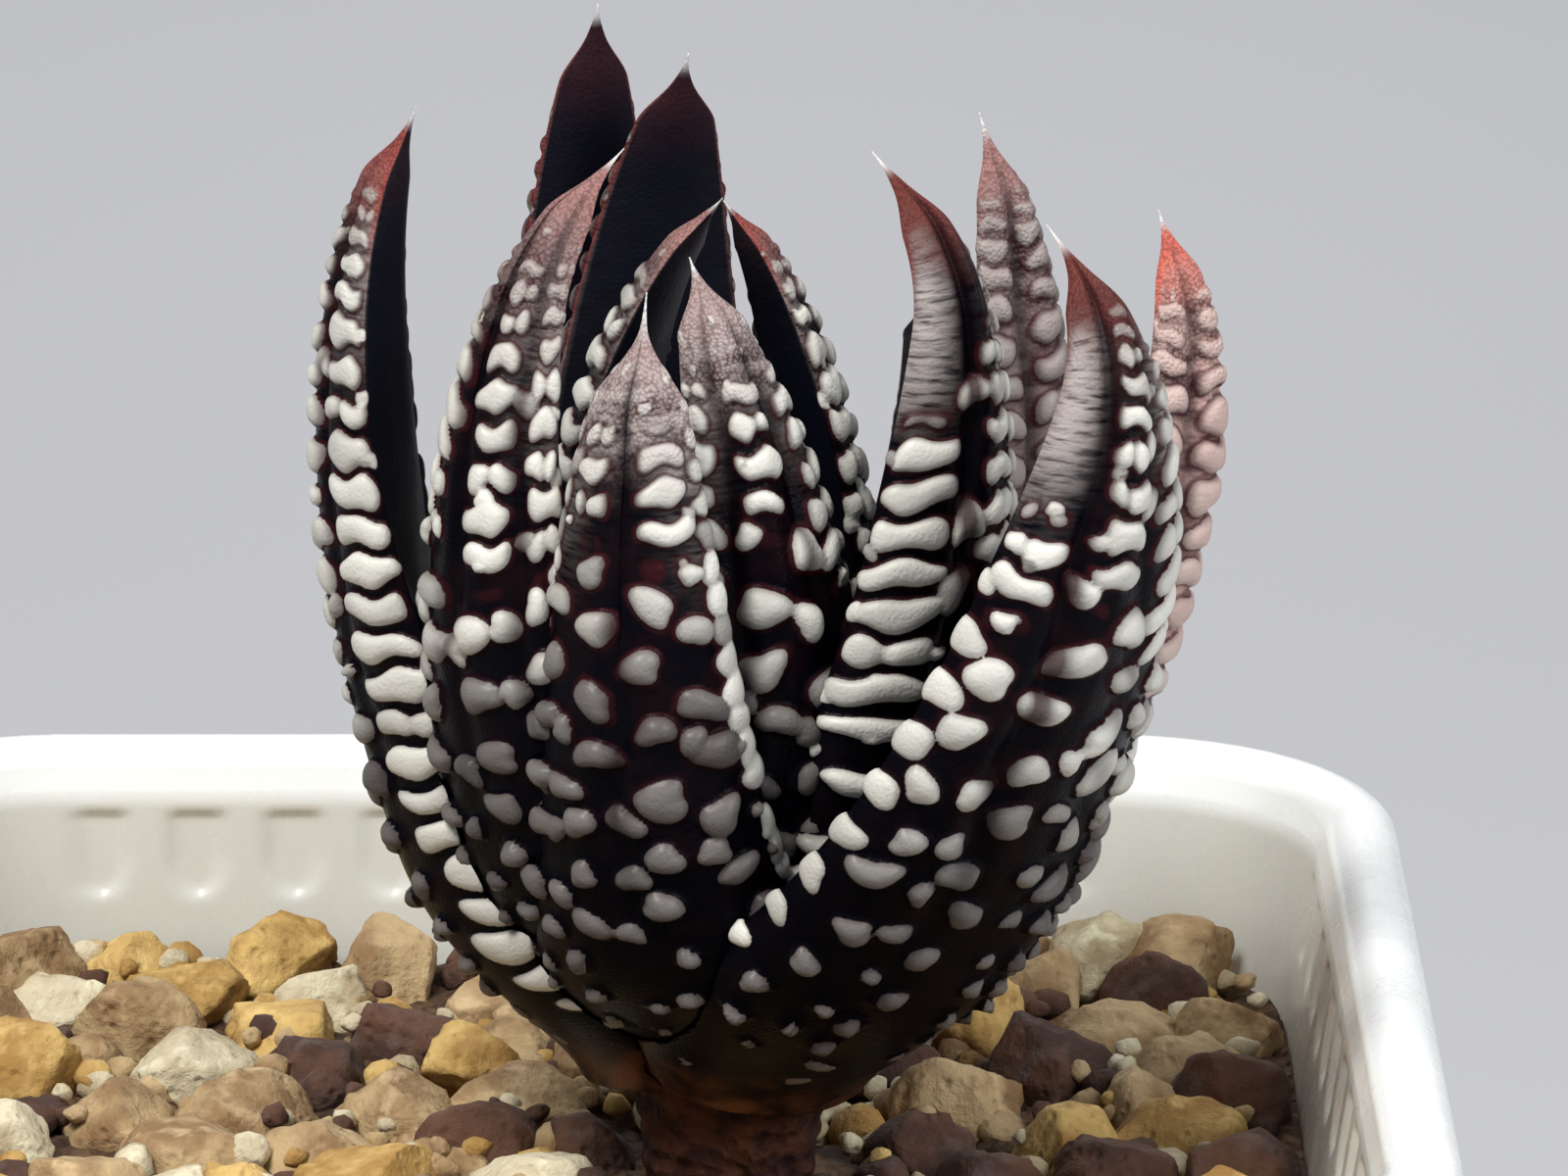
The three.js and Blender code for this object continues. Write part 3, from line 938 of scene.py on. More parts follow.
@dataclass
class Grit:
    """The crushed stones that fill the pot, with small chips and dark fines between them."""

    bed: Bed = field(default_factory=Bed)
    spacing: float = 7.6
    radius: float = 3.9
    rise: float = 3.0
    low_top: float = 71.4
    leaf_reach: float = 15.0
    stem_x: float = 8.3
    stem_room: float = 5.6
    chips: int = 900
    chip_keys: int = 5000
    fine_from: float = 2.2
    cuts: int = 13
    fines_step: float = 0.8
    fines_depth: float = 4.0
    fines_finish: EarthFinish = EarthFinish("fines_dark", (0.13, 0.075, 0.04), (0.035, 0.02, 0.014))

    def build(self) -> list[bpy.types.Object]:
        """Makes the stones in their colours, the chips and the fines, in place of the solid.

        Returns:
            The finished pieces.
        """
        pieces = []
        groups: dict[StoneColour, list[Stone]] = {sort: [] for sort in StoneColour}
        for stone in self._stones() + self._chips():
            groups[self._sort_of(stone)].append(stone)
        for sort, stones in groups.items():
            piece = self._heap("grit_" + sort.name.lower(), stones)
            piece.data.materials.append(StoneFinish(sort).build())
            pieces.append(piece)
        pieces.append(self._fines())
        for piece in pieces:
            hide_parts("grit")
            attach(piece, "root")
        return pieces

    def _sort_of(self, stone: Stone) -> StoneColour:
        """The colour that a stone was drawn to have.

        Args:
            stone: the stone.

        Returns:
            Its colour.
        """
        share = draw(stone.key * 3.7 + 0.5)
        for limit, sort in ((0.36, StoneColour.TAN), (0.60, StoneColour.CREAM), (0.80, StoneColour.GOLD)):
            if share < limit:
                return sort
        return StoneColour.BROWN

    def _from_stem(self, x: Number, y: Number) -> Number:
        """How far from the stem's axis a place is."""
        return np.hypot(x - self.stem_x, y)

    def _stones(self) -> list[Stone]:
        """Lays the large stones in the places that the solid gives them.

        Returns:
            The stones, in staggered rows, clear of the stem and low under the leaves.
        """
        room = self.bed.half
        rows = round(2 * room / (self.spacing * 0.866))
        columns = round(2 * room / self.spacing)
        found = []
        for row in range(rows):
            for column in range(columns):
                key = row * 61 + column * 17
                radius = self.radius * (0.9 + 0.35 * draw(key))
                limit = room - radius
                stagger = 0.25 if row % 2 == 0 else 0.75
                x = (column + stagger + 0.3 * (draw(key + 1) - 0.5)) / columns * 2 * room - room
                y = (row + 0.5 + 0.3 * (draw(key + 2) - 0.5)) / rows * 2 * room - room
                x, y = self.bed.drawn_in(*np.clip([x, y], -limit, limit), radius)
                top = self.bed.height + self.rise * (0.8 + 0.6 * draw(key + 3))
                if self._from_stem(x, y) - radius < self.leaf_reach:
                    top = min(top, self.low_top)
                if self._from_stem(x, y) > self.stem_room + 0.6 * radius:
                    found.append(Stone(x, y, radius, top, key))
        return found

    def _chips(self) -> list[Stone]:
        """Scatters small chips between the stones.

        Returns:
            The chips that lie inside the pot and clear of the stem.
        """
        room = self.bed.half
        found = []
        for i in range(self.chips):
            key = self.chip_keys + i * 7.3
            radius = 0.7 + 1.3 * draw(key) ** 2
            x, y = ((2 * draw(key + n) - 1) * (room - radius) for n in (1.1, 2.3))
            if not self.bed.overruns(x, y, radius) and self._from_stem(x, y) >= self.stem_room + radius:
                found.append(Stone(x, y, radius, self.bed.height + 0.5 + 1.6 * draw(key + 3.1), key))
        return found

    def _heap(self, name: str, stones: Iterable[Stone]) -> bpy.types.Object:
        """One mesh of crushed stones.

        Args:
            name: the piece's name.
            stones: the stones in it.

        Returns:
            The object.
        """
        points, faces, start = [], [], 0
        small, large = self._ball(2), self._ball(4)
        for stone in stones:
            ball, tris = large if stone.radius > self.fine_from else small
            points.append(self._placed(self._crushed(ball, stone.key), stone))
            faces.append(tris + start)
            start += len(ball)
        return mesh_object(name, np.concatenate(points), np.concatenate(faces).tolist())

    def _ball(self, level: int) -> tuple[Points, np.ndarray]:
        """The points and triangles of a round ball.

        Args:
            level: how often its triangles are divided.

        Returns:
            The points, one from the middle, and the triangles.
        """
        mesh = bmesh.new()
        bmesh.ops.create_icosphere(mesh, subdivisions=level, radius=1.0)
        points = np.array([v.co[:] for v in mesh.verts])
        tris = np.array([[v.index for v in f.verts] for f in mesh.faces])
        mesh.free()
        return points, tris

    def _crushed(self, ball: Points, key: float) -> Points:
        """Cuts a ball by uneven planes into a stone.

        Args:
            ball: the ball's points.
            key: the stone's key.

        Returns:
            The stone's points, from -1 to 1 each way.
        """
        shape = ball * (1 + 0.05 * np.sin(ball @ np.array([3.1, 4.7, 2.3]) * 2 + key)[:, None])
        for i in range(self.cuts):
            k = key * 1.7 + i * 3.9
            turn, lift = 2 * pi * draw(k), 2 * draw(k + 0.7) - 1
            normal = np.array([*(np.sqrt(1 - lift**2) * np.array([cos(turn), sin(turn)])), lift])
            over = np.maximum(0, shape @ normal - (0.60 + 0.25 * draw(k + 1.3)))
            shape = shape - 0.94 * over[:, None] * normal
        shape = shape + 0.02 * np.sin(shape[:, [1, 2, 0]] * 17 + key)
        return shape / np.abs(shape).max(axis=0)

    def _placed(self, shape: Points, stone: Stone) -> Points:
        """Turns and scales a crushed shape to its stone's place, width and top.

        Args:
            shape: the shape's points, from -1 to 1 each way.
            stone: the stone it becomes.

        Returns:
            The stone's points.
        """
        turn = pi * draw(stone.key + 0.4)
        flat = 0.72 + 0.25 * draw(stone.key + 0.9)
        x = shape[:, 0] * cos(turn) - shape[:, 1] * sin(turn) * flat
        y = shape[:, 0] * sin(turn) + shape[:, 1] * cos(turn) * flat
        width = 0.98 * stone.radius / np.hypot(x, y).max()
        tall = stone.radius * 0.78
        z = stone.top - tall + shape[:, 2] * tall
        return np.column_stack([stone.x + x * width, stone.y + y * width, z])

    def _fines(self) -> bpy.types.Object:
        """Makes the dark bed under the stones, a rough slab that rises a little at the stem.

        Returns:
            The object.
        """
        room, core = self.bed.half, self.bed.core
        count = ceil(2 * room / self.fines_step)
        at = np.linspace(-room, room, count + 1)
        x, y = np.meshgrid(at, at, indexing="ij")
        dx, dy = np.maximum(0, np.abs(x) - core), np.maximum(0, np.abs(y) - core)
        both = (dx > 0) & (dy > 0)
        k = np.where(both, np.maximum(dx, dy) / np.maximum(np.hypot(dx, dy), 1e-9), 1)
        x = np.where(both, np.sign(x) * (core + dx * k), x)
        y = np.where(both, np.sign(y) * (core + dy * k), y)
        rough = 0.35 * np.sin(x * 2.1 + 3 * np.sin(y * 0.9)) * np.sin(y * 2.4 + 2 * np.sin(x * 1.1))
        z = self.bed.height - 0.3 + rough
        z = z + smooth(self.stem_room + 3, self.stem_room, self._from_stem(x, y)) * 0.6
        top = np.column_stack([x.ravel(), y.ravel(), z.ravel()])
        low = top.copy()
        low[:, 2] = self.bed.height - self.fines_depth
        piece = mesh_object("grit_fines", np.concatenate([top, low]), self._slab_faces(count))
        piece.data.materials.append(self.fines_finish.build())
        return piece

    def _slab_faces(self, count: int) -> list[tuple[int, ...]]:
        """The faces of a slab between two square grids of points.

        Args:
            count: how many squares each side of the slab has.

        Returns:
            The faces of its top, its underside and its edge.
        """
        n = count + 1
        faces = []
        for i in range(count):
            for j in range(count):
                a, b, c, d = i * n + j, (i + 1) * n + j, (i + 1) * n + j + 1, i * n + j + 1
                faces.append((a, b, c, d))
                faces.append((d + n * n, c + n * n, b + n * n, a + n * n))
        border = [i * n for i in range(count)] + [count * n + j for j in range(count)]
        border += [i * n + count for i in range(count, 0, -1)] + list(range(count, 0, -1))
        for a, b in zip(border, border[1:] + border[:1]):
            faces.append((b, a, a + n * n, b + n * n))
        return faces


@dataclass
class Stem:
    """The short woody stem, rough with the scars of old leaves.

    outline gives its radius and its height above the soil from the root stock up.
    """

    x: float = 8.3
    soil: float = 70.0
    outline: tuple[Span, ...] = (
        (1.4, -25), (3.2, -10), (4.4, -3), (4.8, 1), (5.4, 5), (4.2, 8), (3.0, 10.5), (1.6, 12.5),
    )
    rings: int = 120
    ring_points: int = 72
    bark: EarthFinish = EarthFinish("stem_brown", (0.085, 0.028, 0.013), (0.018, 0.005, 0.004))

    def build(self) -> bpy.types.Object:
        """Makes the stem in place of its solid.

        Returns:
            The finished piece.
        """
        z = np.linspace(self.outline[0][1], self.outline[-1][1], self.rings)
        r = np.interp(z, [p[1] for p in self.outline], [p[0] for p in self.outline])
        turn = np.linspace(0, 2 * pi, self.ring_points, endpoint=False)
        scars = 0.10 * np.sin(z * 4.2)[:, None] + 0.12 * np.sin(turn * 9 + z[:, None] * 1.3)
        r = r[:, None] - 0.15 + scars
        height = np.broadcast_to(self.soil + z[:, None], r.shape)
        points = np.stack([self.x + r * np.cos(turn), r * np.sin(turn), height], axis=-1)
        stem = mesh_object("stem_bark", points.reshape(-1, 3), loft_faces(self.rings, self.ring_points, 0))
        stem.data.materials.append(self.bark.build())
        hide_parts("stem")
        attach(stem, "root")
        return stem


class Spot(NamedTuple):
    """Where a wart stands along and across the leaf, how high it is, its line and the key of its draws.

    The lines are counted from one margin, and a spot between two of them has a broken number.
    """

    t: float
    q: float
    height: float
    line: float
    key: float


@dataclass(frozen=True)
class Warts:
    """The warts of one leaf, as arrays with a row for each."""

    t: np.ndarray
    q: np.ndarray
    centre: np.ndarray
    along: np.ndarray
    across: np.ndarray
    out: np.ndarray
    half_length: np.ndarray
    half_width: np.ndarray
    height: np.ndarray
    on_margin: np.ndarray
    tone: np.ndarray
    key: np.ndarray


@dataclass(frozen=True)
class Ribs:
    """A column of warts that have run together into ribs.

    low and high are its two sides, as shares of the width of the back. first and last are where it starts
    and ends, as shares of the leaf's length.
    """

    low: float
    high: float
    first: float
    last: float

    def share(self, t: np.ndarray) -> np.ndarray:
        """How far the warts have run together at t."""
        return smooth(self.first, self.first + 0.08, t) * smooth(self.last, self.last - 0.06, t)


@dataclass(frozen=True, kw_only=True)
class LeafForm:
    """One leaf: its course from the stem and its sizes, as in the solids, and its marks and finish.

    grooves are the furrows along the back, each with its place across, from 0 to 1, and its strength.
    wide_lines are the lines of warts that are drawn out into bars. bare leaves the back without warts up to
    its first number across and from its second along. The warts are pale from about pale_from on, as a
    share of the length; below it they are dull, partly their own grey and partly a painted shade.
    """

    number: int
    azimuth: float
    roll: float = 0
    lean: float = 0
    hook: float = 0
    width: float
    foot: float
    depth: float
    neck: float = 0
    needle: float
    route: tuple[Span, ...]
    tip: TipColour
    blush_from: float = 0.84
    grooves: tuple[Span, ...] = ((0.5, 0.8),)
    wide_lines: tuple[int, ...] = ()
    ribs: tuple[Ribs, ...] = (Ribs(0.0, 0.5, 0.60, 0.94), Ribs(0.5, 1.0, 0.60, 0.94))
    bare: Span = (0.0, 1.0)
    pale_from: float = 0.55

    @property
    def name(self) -> str:
        """The name of the leaf's solid."""
        return f"leaf_{self.number:02d}"


@dataclass
class LeafSkin:
    """The smooth skin of one leaf, without its warts: a back that clasps the stem and a keeled, hooked tip.

    A place on it is given by t, the share of the length from the foot, and q, which runs from 0 to 1 over
    the back and from 1 to 2 over the inner face. widest is what the taper leaves of the breadth where the
    leaf is widest.
    """

    form: LeafForm
    plant_x: float = 8.3
    soil: float = 70.0
    spine_half: float = 0.3
    hook_start: float = 0.86
    neck_start: float = 0.7
    full_width: float = 0.38
    widest: float = 0.78
    shoulder: float = 0.035
    upright_end: float = 0.4
    clasp_fades: Span = (0.1, 0.62)
    roll_comes: Span = (0.4, 0.95)
    keel_comes: Span = (0.4, 0.95)
    hollow_turns: Span = (0.45, 0.8)

    def _axes(self) -> tuple[np.ndarray, np.ndarray]:
        """The level directions away from the stem and sideways."""
        turn = radians(self.form.azimuth)
        return np.array([sin(turn), -cos(turn), 0]), np.array([cos(turn), sin(turn), 0])

    def route(self, t: np.ndarray) -> np.ndarray:
        """How far from the axis and how high above the soil the leaf runs, as a curve.

        Args:
            t: shares of the leaf's length.

        Returns:
            A row for each.
        """
        a, b, c, d = (np.array(p, float) for p in self.form.route)
        t = t[:, None]
        return (1 - t) ** 3 * a + 3 * (1 - t) ** 2 * t * b + 3 * (1 - t) * t**2 * c + t**3 * d

    def middle(self, t: np.ndarray) -> Points:
        """The middle line of the inner face.

        Args:
            t: shares of the leaf's length.

        Returns:
            A point for each.
        """
        away, side = self._axes()
        route = self.route(t)
        hooked = np.maximum(0, t - self.hook_start) / (1 - self.hook_start)
        reach = route[:, 0] - self.form.hook * hooked**2
        base = np.array([self.plant_x, 0, self.soil])
        lean = (self.form.lean * t * t)[:, None] * side
        return base + reach[:, None] * away + route[:, 1:] * UP + lean

    def breadth(self, t: np.ndarray) -> tuple[np.ndarray, np.ndarray]:
        """Half the width and the depth, drawn in to a needle at the tip.

        Args:
            t: shares of the leaf's length.

        Returns:
            The half width and the depth at each.
        """
        f = self.form
        left = np.maximum(0, 1 - t)
        shoulder = smooth(0.4 * f.needle, f.needle + self.shoulder, left)
        full = smooth(0, self.full_width, t)
        narrowed = 1 - f.neck * smooth(self.neck_start, 1, t)
        half = (f.foot * (1 - full) + f.width / self.widest * full) / 2 * left**0.62 * shoulder * narrowed
        thick = (0.34 + 0.66 * full) * left**0.55 * shoulder / self.widest
        spine = self.spine_half * (0.12 + 0.88 * smooth(0, 0.9 * f.needle, left))
        return half + spine, f.depth * thick + spine

    def _frame(self, t: np.ndarray) -> tuple[np.ndarray, np.ndarray, np.ndarray]:
        """How the leaf's section lies at each ring.

        Args:
            t: shares of the leaf's length.

        Returns:
            The directions across the leaf and out of its back, and how strongly it bends round the stem.
        """
        away, side = self._axes()
        start = np.maximum(0, t)
        step = 1e-3
        line = unit(self.middle(start + step) - self.middle(start - step))
        line = unit(line + UP * (0.9 * (1 - smooth(0, self.upright_end, t)))[:, None])
        across = unit(side - (line @ side)[:, None] * line)
        back = np.cross(across, line)
        clasp = (1 - smooth(*self.clasp_fades, t)) * np.maximum(0.2, back @ away)
        clasp = np.maximum(clasp / np.maximum(3, self.route(start)[:, 0]), 1e-4)
        roll = (radians(self.form.roll) * smooth(*self.roll_comes, t))[:, None]
        turned = across * np.cos(roll) + back * np.sin(roll)
        return turned, back * np.cos(roll) - across * np.sin(roll), clasp[:, None]

    def points(self, t: np.ndarray, q: np.ndarray, grow: float = 0.0) -> Points:
        """Points of the smooth skin.

        Args:
            t: shares of the leaf's length, one for each ring.
            q: places round the ring.
            grow: how far the skin is moved out.

        Returns:
            The points, ring by ring.
        """
        across, back, clasp = self._frame(t)
        half, bulge = (v[:, None] for v in self.breadth(t))
        at = self.middle(t)[:, None, :]
        t = t[:, None]
        s = -np.cos(pi * q)[None, :]
        keel = 0.1 + 0.5 * smooth(*self.keel_comes, t)
        arch = (1 - keel) * np.sqrt(np.maximum(0, 1 - s * s)) + keel * (1 - np.abs(s)) ** 0.9
        turned = smooth(*self.hollow_turns, t)
        hollow = (1 - s * s) * (0.12 * (1 - turned) - 0.25 * turned)
        lift = np.sin(pi * q)[None, :]
        n = np.where(q[None, :] > 1, bulge * hollow - grow, bulge * arch + grow * (0.4 + 0.6 * lift))
        b = (half + grow) * s
        radius = 1 / clasp + n
        return (
            at
            + (radius * np.sin(clasp * b))[..., None] * across[:, None, :]
            + (radius * np.cos(clasp * b) - 1 / clasp)[..., None] * back[:, None, :]
        )

    def each(self, t: np.ndarray, q: np.ndarray) -> Points:
        """The skin at pairs of t and q."""
        order = np.arange(len(t))
        return self.points(t, q)[order, order]

    def even(self, count: int) -> np.ndarray:
        """Shares of the length whose rings lie evenly spaced.

        Args:
            count: how many rings.

        Returns:
            The share for each.
        """
        t = np.linspace(0, 1, 400)
        steps = np.linalg.norm(np.diff(self.middle(t), axis=0), axis=1)
        run = np.concatenate([[0], np.cumsum(steps)])
        return np.interp(np.linspace(0, run[-1], count), run, t)


@dataclass
class WartPattern:
    """Lays out the warts of one leaf in staggered lines along its back."""

    skin: LeafSkin
    files: int = 4
    pitch: float = 2.6
    height: float = 0.75
    spread: float = 0.25
    first: float = 0.1
    last: float = 0.88
    last_bead: float = 0.95
    last_filler: float = 0.60
    low_bead: float = 0.45
    bead_share: float = 0.75
    filler_share: float = 0.86

    @property
    def columns(self) -> int:
        """The number of the line on the far margin."""
        return self.files + 1

    def _spots(self) -> list[Spot]:
        """Where warts stand.

        Those on whole lines stand where the solid has them. Smaller ones fill the room between the lines,
        and the lines run on towards the tip as low beads.

        Returns:
            A spot for each wart.
        """
        route = self.skin.route(np.linspace(0, 1, 60))
        length = np.linalg.norm(np.diff(route, axis=0), axis=1).sum()
        count = round(length * (self.last - self.first) / (self.pitch / 2))
        step = (self.last - self.first) / count
        beads = int((self.last_bead - self.last) / step)
        spots = []
        for ring in range(count + beads):
            stop = self.first + (ring + 0.5) * step
            low = 1.0 if ring < count else self.low_bead
            height = smooth(0.08, 0.28, stop) * (1 - 0.65 * smooth(0.6, 0.9, stop)) * low
            for line in range(self.columns + 1):
                key = self.skin.form.number * 997 + (ring + 2) * 37 + line * 11
                if (ring + line) % 2 == 0:
                    spots += self._margin_beads(stop, line, height, key)
                else:
                    spots += self._line_warts(stop, line, height, key, step)
        return spots

    def _margin_beads(self, stop: float, line: int, height: float, key: float) -> list[Spot]:
        """A low bead between two warts of a margin, or none.

        Args:
            stop: its place along the leaf.
            line: the line it is on.
            height: its height, as a share of a full wart's.
            key: the key of its draws.

        Returns:
            The bead in a list, or an empty one.
        """
        on_margin = line in (0, self.columns)
        if not on_margin or line in self.skin.form.wide_lines or draw(key + 13) >= self.bead_share:
            return []
        return [Spot(stop, line / self.columns, self.low_bead * self.height * height, line, key + 0.25)]

    def _line_warts(self, stop: float, line: int, height: float, key: float, step: float) -> list[Spot]:
        """A wart on a line, and the smaller one beside it that fills the room to the next line.

        Args:
            stop: the row's place along the leaf.
            line: the line the wart is on.
            height: its height, as a share of a full wart's.
            key: the key of its draws.
            step: how far apart the rows lie.

        Returns:
            The wart, and the smaller one where there is one.
        """
        margin = line in (0, self.columns)
        raised = self.height * height * (1 - self.spread + 2 * self.spread * draw(key))
        along = 0.0 if margin else 0.6 * step * (draw(key + 1) - 0.5)
        aside = 0.0 if margin else 0.35 * (draw(key + 2) - 0.5)
        on_line = raised * (0.5 if margin else 1.0)
        spots = [Spot(stop + along, (line + aside) / self.columns, on_line, line, key)]
        between = line + 0.58 + 0.16 * (draw(key + 7) - 0.5)
        barred = bool({line, line + 1} & set(self.skin.form.wide_lines))
        drawn = draw(key + 8) < self.filler_share
        if between < self.columns and not barred and drawn and stop < self.last_filler:
            shift = 0.7 * step * (draw(key + 9) - 0.5)
            spots.append(Spot(stop + shift, between / self.columns, 0.8 * raised, between, key + 0.5))
        return spots

    def build(self) -> Warts:
        """Gives each wart its size, turn and tone.

        Returns:
            The warts.
        """
        t, q, height, line, key = np.array(self._spots()).T
        q = np.clip(q, 0.03, 0.97)
        wide = np.isin(line, self.skin.form.wide_lines)
        margin = (line == 0) | (line == self.columns)
        ribbed = self._ribbed(t, q)
        along = unit(self.skin.each(t + 0.01, q) - self.skin.each(t - 0.01, q))
        across = unit(self.skin.each(t, q + 0.02) - self.skin.each(t, q - 0.02))
        turn = (draw(key + 5) - 0.5) * np.where(wide, 0.3, 1.1)
        turned = np.cos(turn)[:, None] * across + np.sin(turn)[:, None] * along
        out = unit(np.cross(along, turned))
        size = self._size(t, q, key, ribbed)
        half_length, half_width = self._halves(t, q, key, wide, margin, line % 1 > 0)
        return Warts(
            t=t,
            q=q,
            centre=self.skin.each(t, q),
            along=unit(np.cross(turned, out)),
            across=turned,
            out=out,
            half_length=size * half_length,
            half_width=size * half_width,
            height=height * (1 - 0.4 * ribbed),
            on_margin=margin,
            tone=self._tone(t, key, wide | margin),
            key=key,
        )

    def _ribbed(self, t: np.ndarray, q: np.ndarray) -> np.ndarray:
        """How far each wart has run together with its neighbours into a rib.

        Args:
            t: the warts' places along the leaf.
            q: their places across it.

        Returns:
            0 for a single wart, up to 1.
        """
        ribbed = np.zeros(len(t))
        for ribs in self.skin.form.ribs:
            ribbed = np.maximum(ribbed, ribs.share(t) * ((q > ribs.low) & (q < ribs.high)))
        return ribbed

    def _size(self, t: np.ndarray, q: np.ndarray, key: np.ndarray, ribbed: np.ndarray) -> np.ndarray:
        """The warts' size for their place: small at the foot and the tip, in the ribs and on the bare part.

        Args:
            t: the warts' places along the leaf.
            q: their places across it.
            key: their keys.
            ribbed: how far each has run into a rib.

        Returns:
            A share of the full size for each.
        """
        size = (0.52 + 0.48 * smooth(0.18, 0.60, t)) * (1 - 0.34 * smooth(0.70, 0.88, t))
        in_ribs = np.where(draw(key + 12) > 0.7, 0.5, 1.0) * ribbed
        size = size * (1 - 0.35 * smooth(0.87, 0.9, t)) * (1 - in_ribs)
        across_bare, from_bare = self.skin.form.bare
        return size * np.where(q < across_bare, smooth(from_bare + 0.04, from_bare, t), 1.0)

    def _halves(
        self,
        t: np.ndarray,
        q: np.ndarray,
        key: np.ndarray,
        wide: np.ndarray,
        margin: np.ndarray,
        filler: np.ndarray,
    ) -> tuple[np.ndarray, np.ndarray]:
        """Half the length and half the width of each wart at full size.

        Args:
            t: the warts' places along the leaf.
            q: their places across it.
            key: their keys.
            wide: which of them are drawn out into bars.
            margin: which stand on a margin.
            filler: which stand between the lines.

        Returns:
            The half lengths and the half widths.
        """
        room = np.linalg.norm(self.skin.each(t, q + 0.1) - self.skin.each(t, q - 0.1), axis=1)
        spare = smooth(2.2, 3.3, room)
        width = np.clip(0.46 * room * (1 - 0.22 * spare), 0.55, 1.35) * (0.72 + 0.55 * draw(key + 3))
        width = np.where(margin, 0.95, width)
        width = np.where(filler, (0.30 + 0.58 * spare) * (0.8 + 0.5 * draw(key + 3)), width)
        width = np.where(wide, np.where(margin, 1.35, np.minimum(1.95, 0.72 * room)), width)
        length = 0.80 + 0.34 * draw(key + 4)
        length = np.where(filler, length * (0.45 + 0.4 * spare), length)
        return np.where(wide, np.where(margin, 1.1, 0.86), length), width

    def _tone(self, t: np.ndarray, key: np.ndarray, early: np.ndarray) -> np.ndarray:
        """How pale each wart is: dull below, partly as painted shade of the lower leaf, pale above, with some
        dull ones among them.

        Args:
            t: the warts' places along the leaf.
            key: their keys.
            early: which of them turn pale further down, as bars and those of the margins do.

        Returns:
            0 for a dull wart, up to 1 for a pale one.
        """
        start = self.skin.form.pale_from - np.where(early, 0.42, 0.08)
        # The warts stay dull below start, partly as painted shade of the lower leaf.
        lit = smooth(start, start + 0.16, t)
        return (0.14 + 0.86 * lit) * (1 - 0.35 * draw(key + 6)) * np.where(draw(key + 10) > 0.85, 0.45, 1.0)


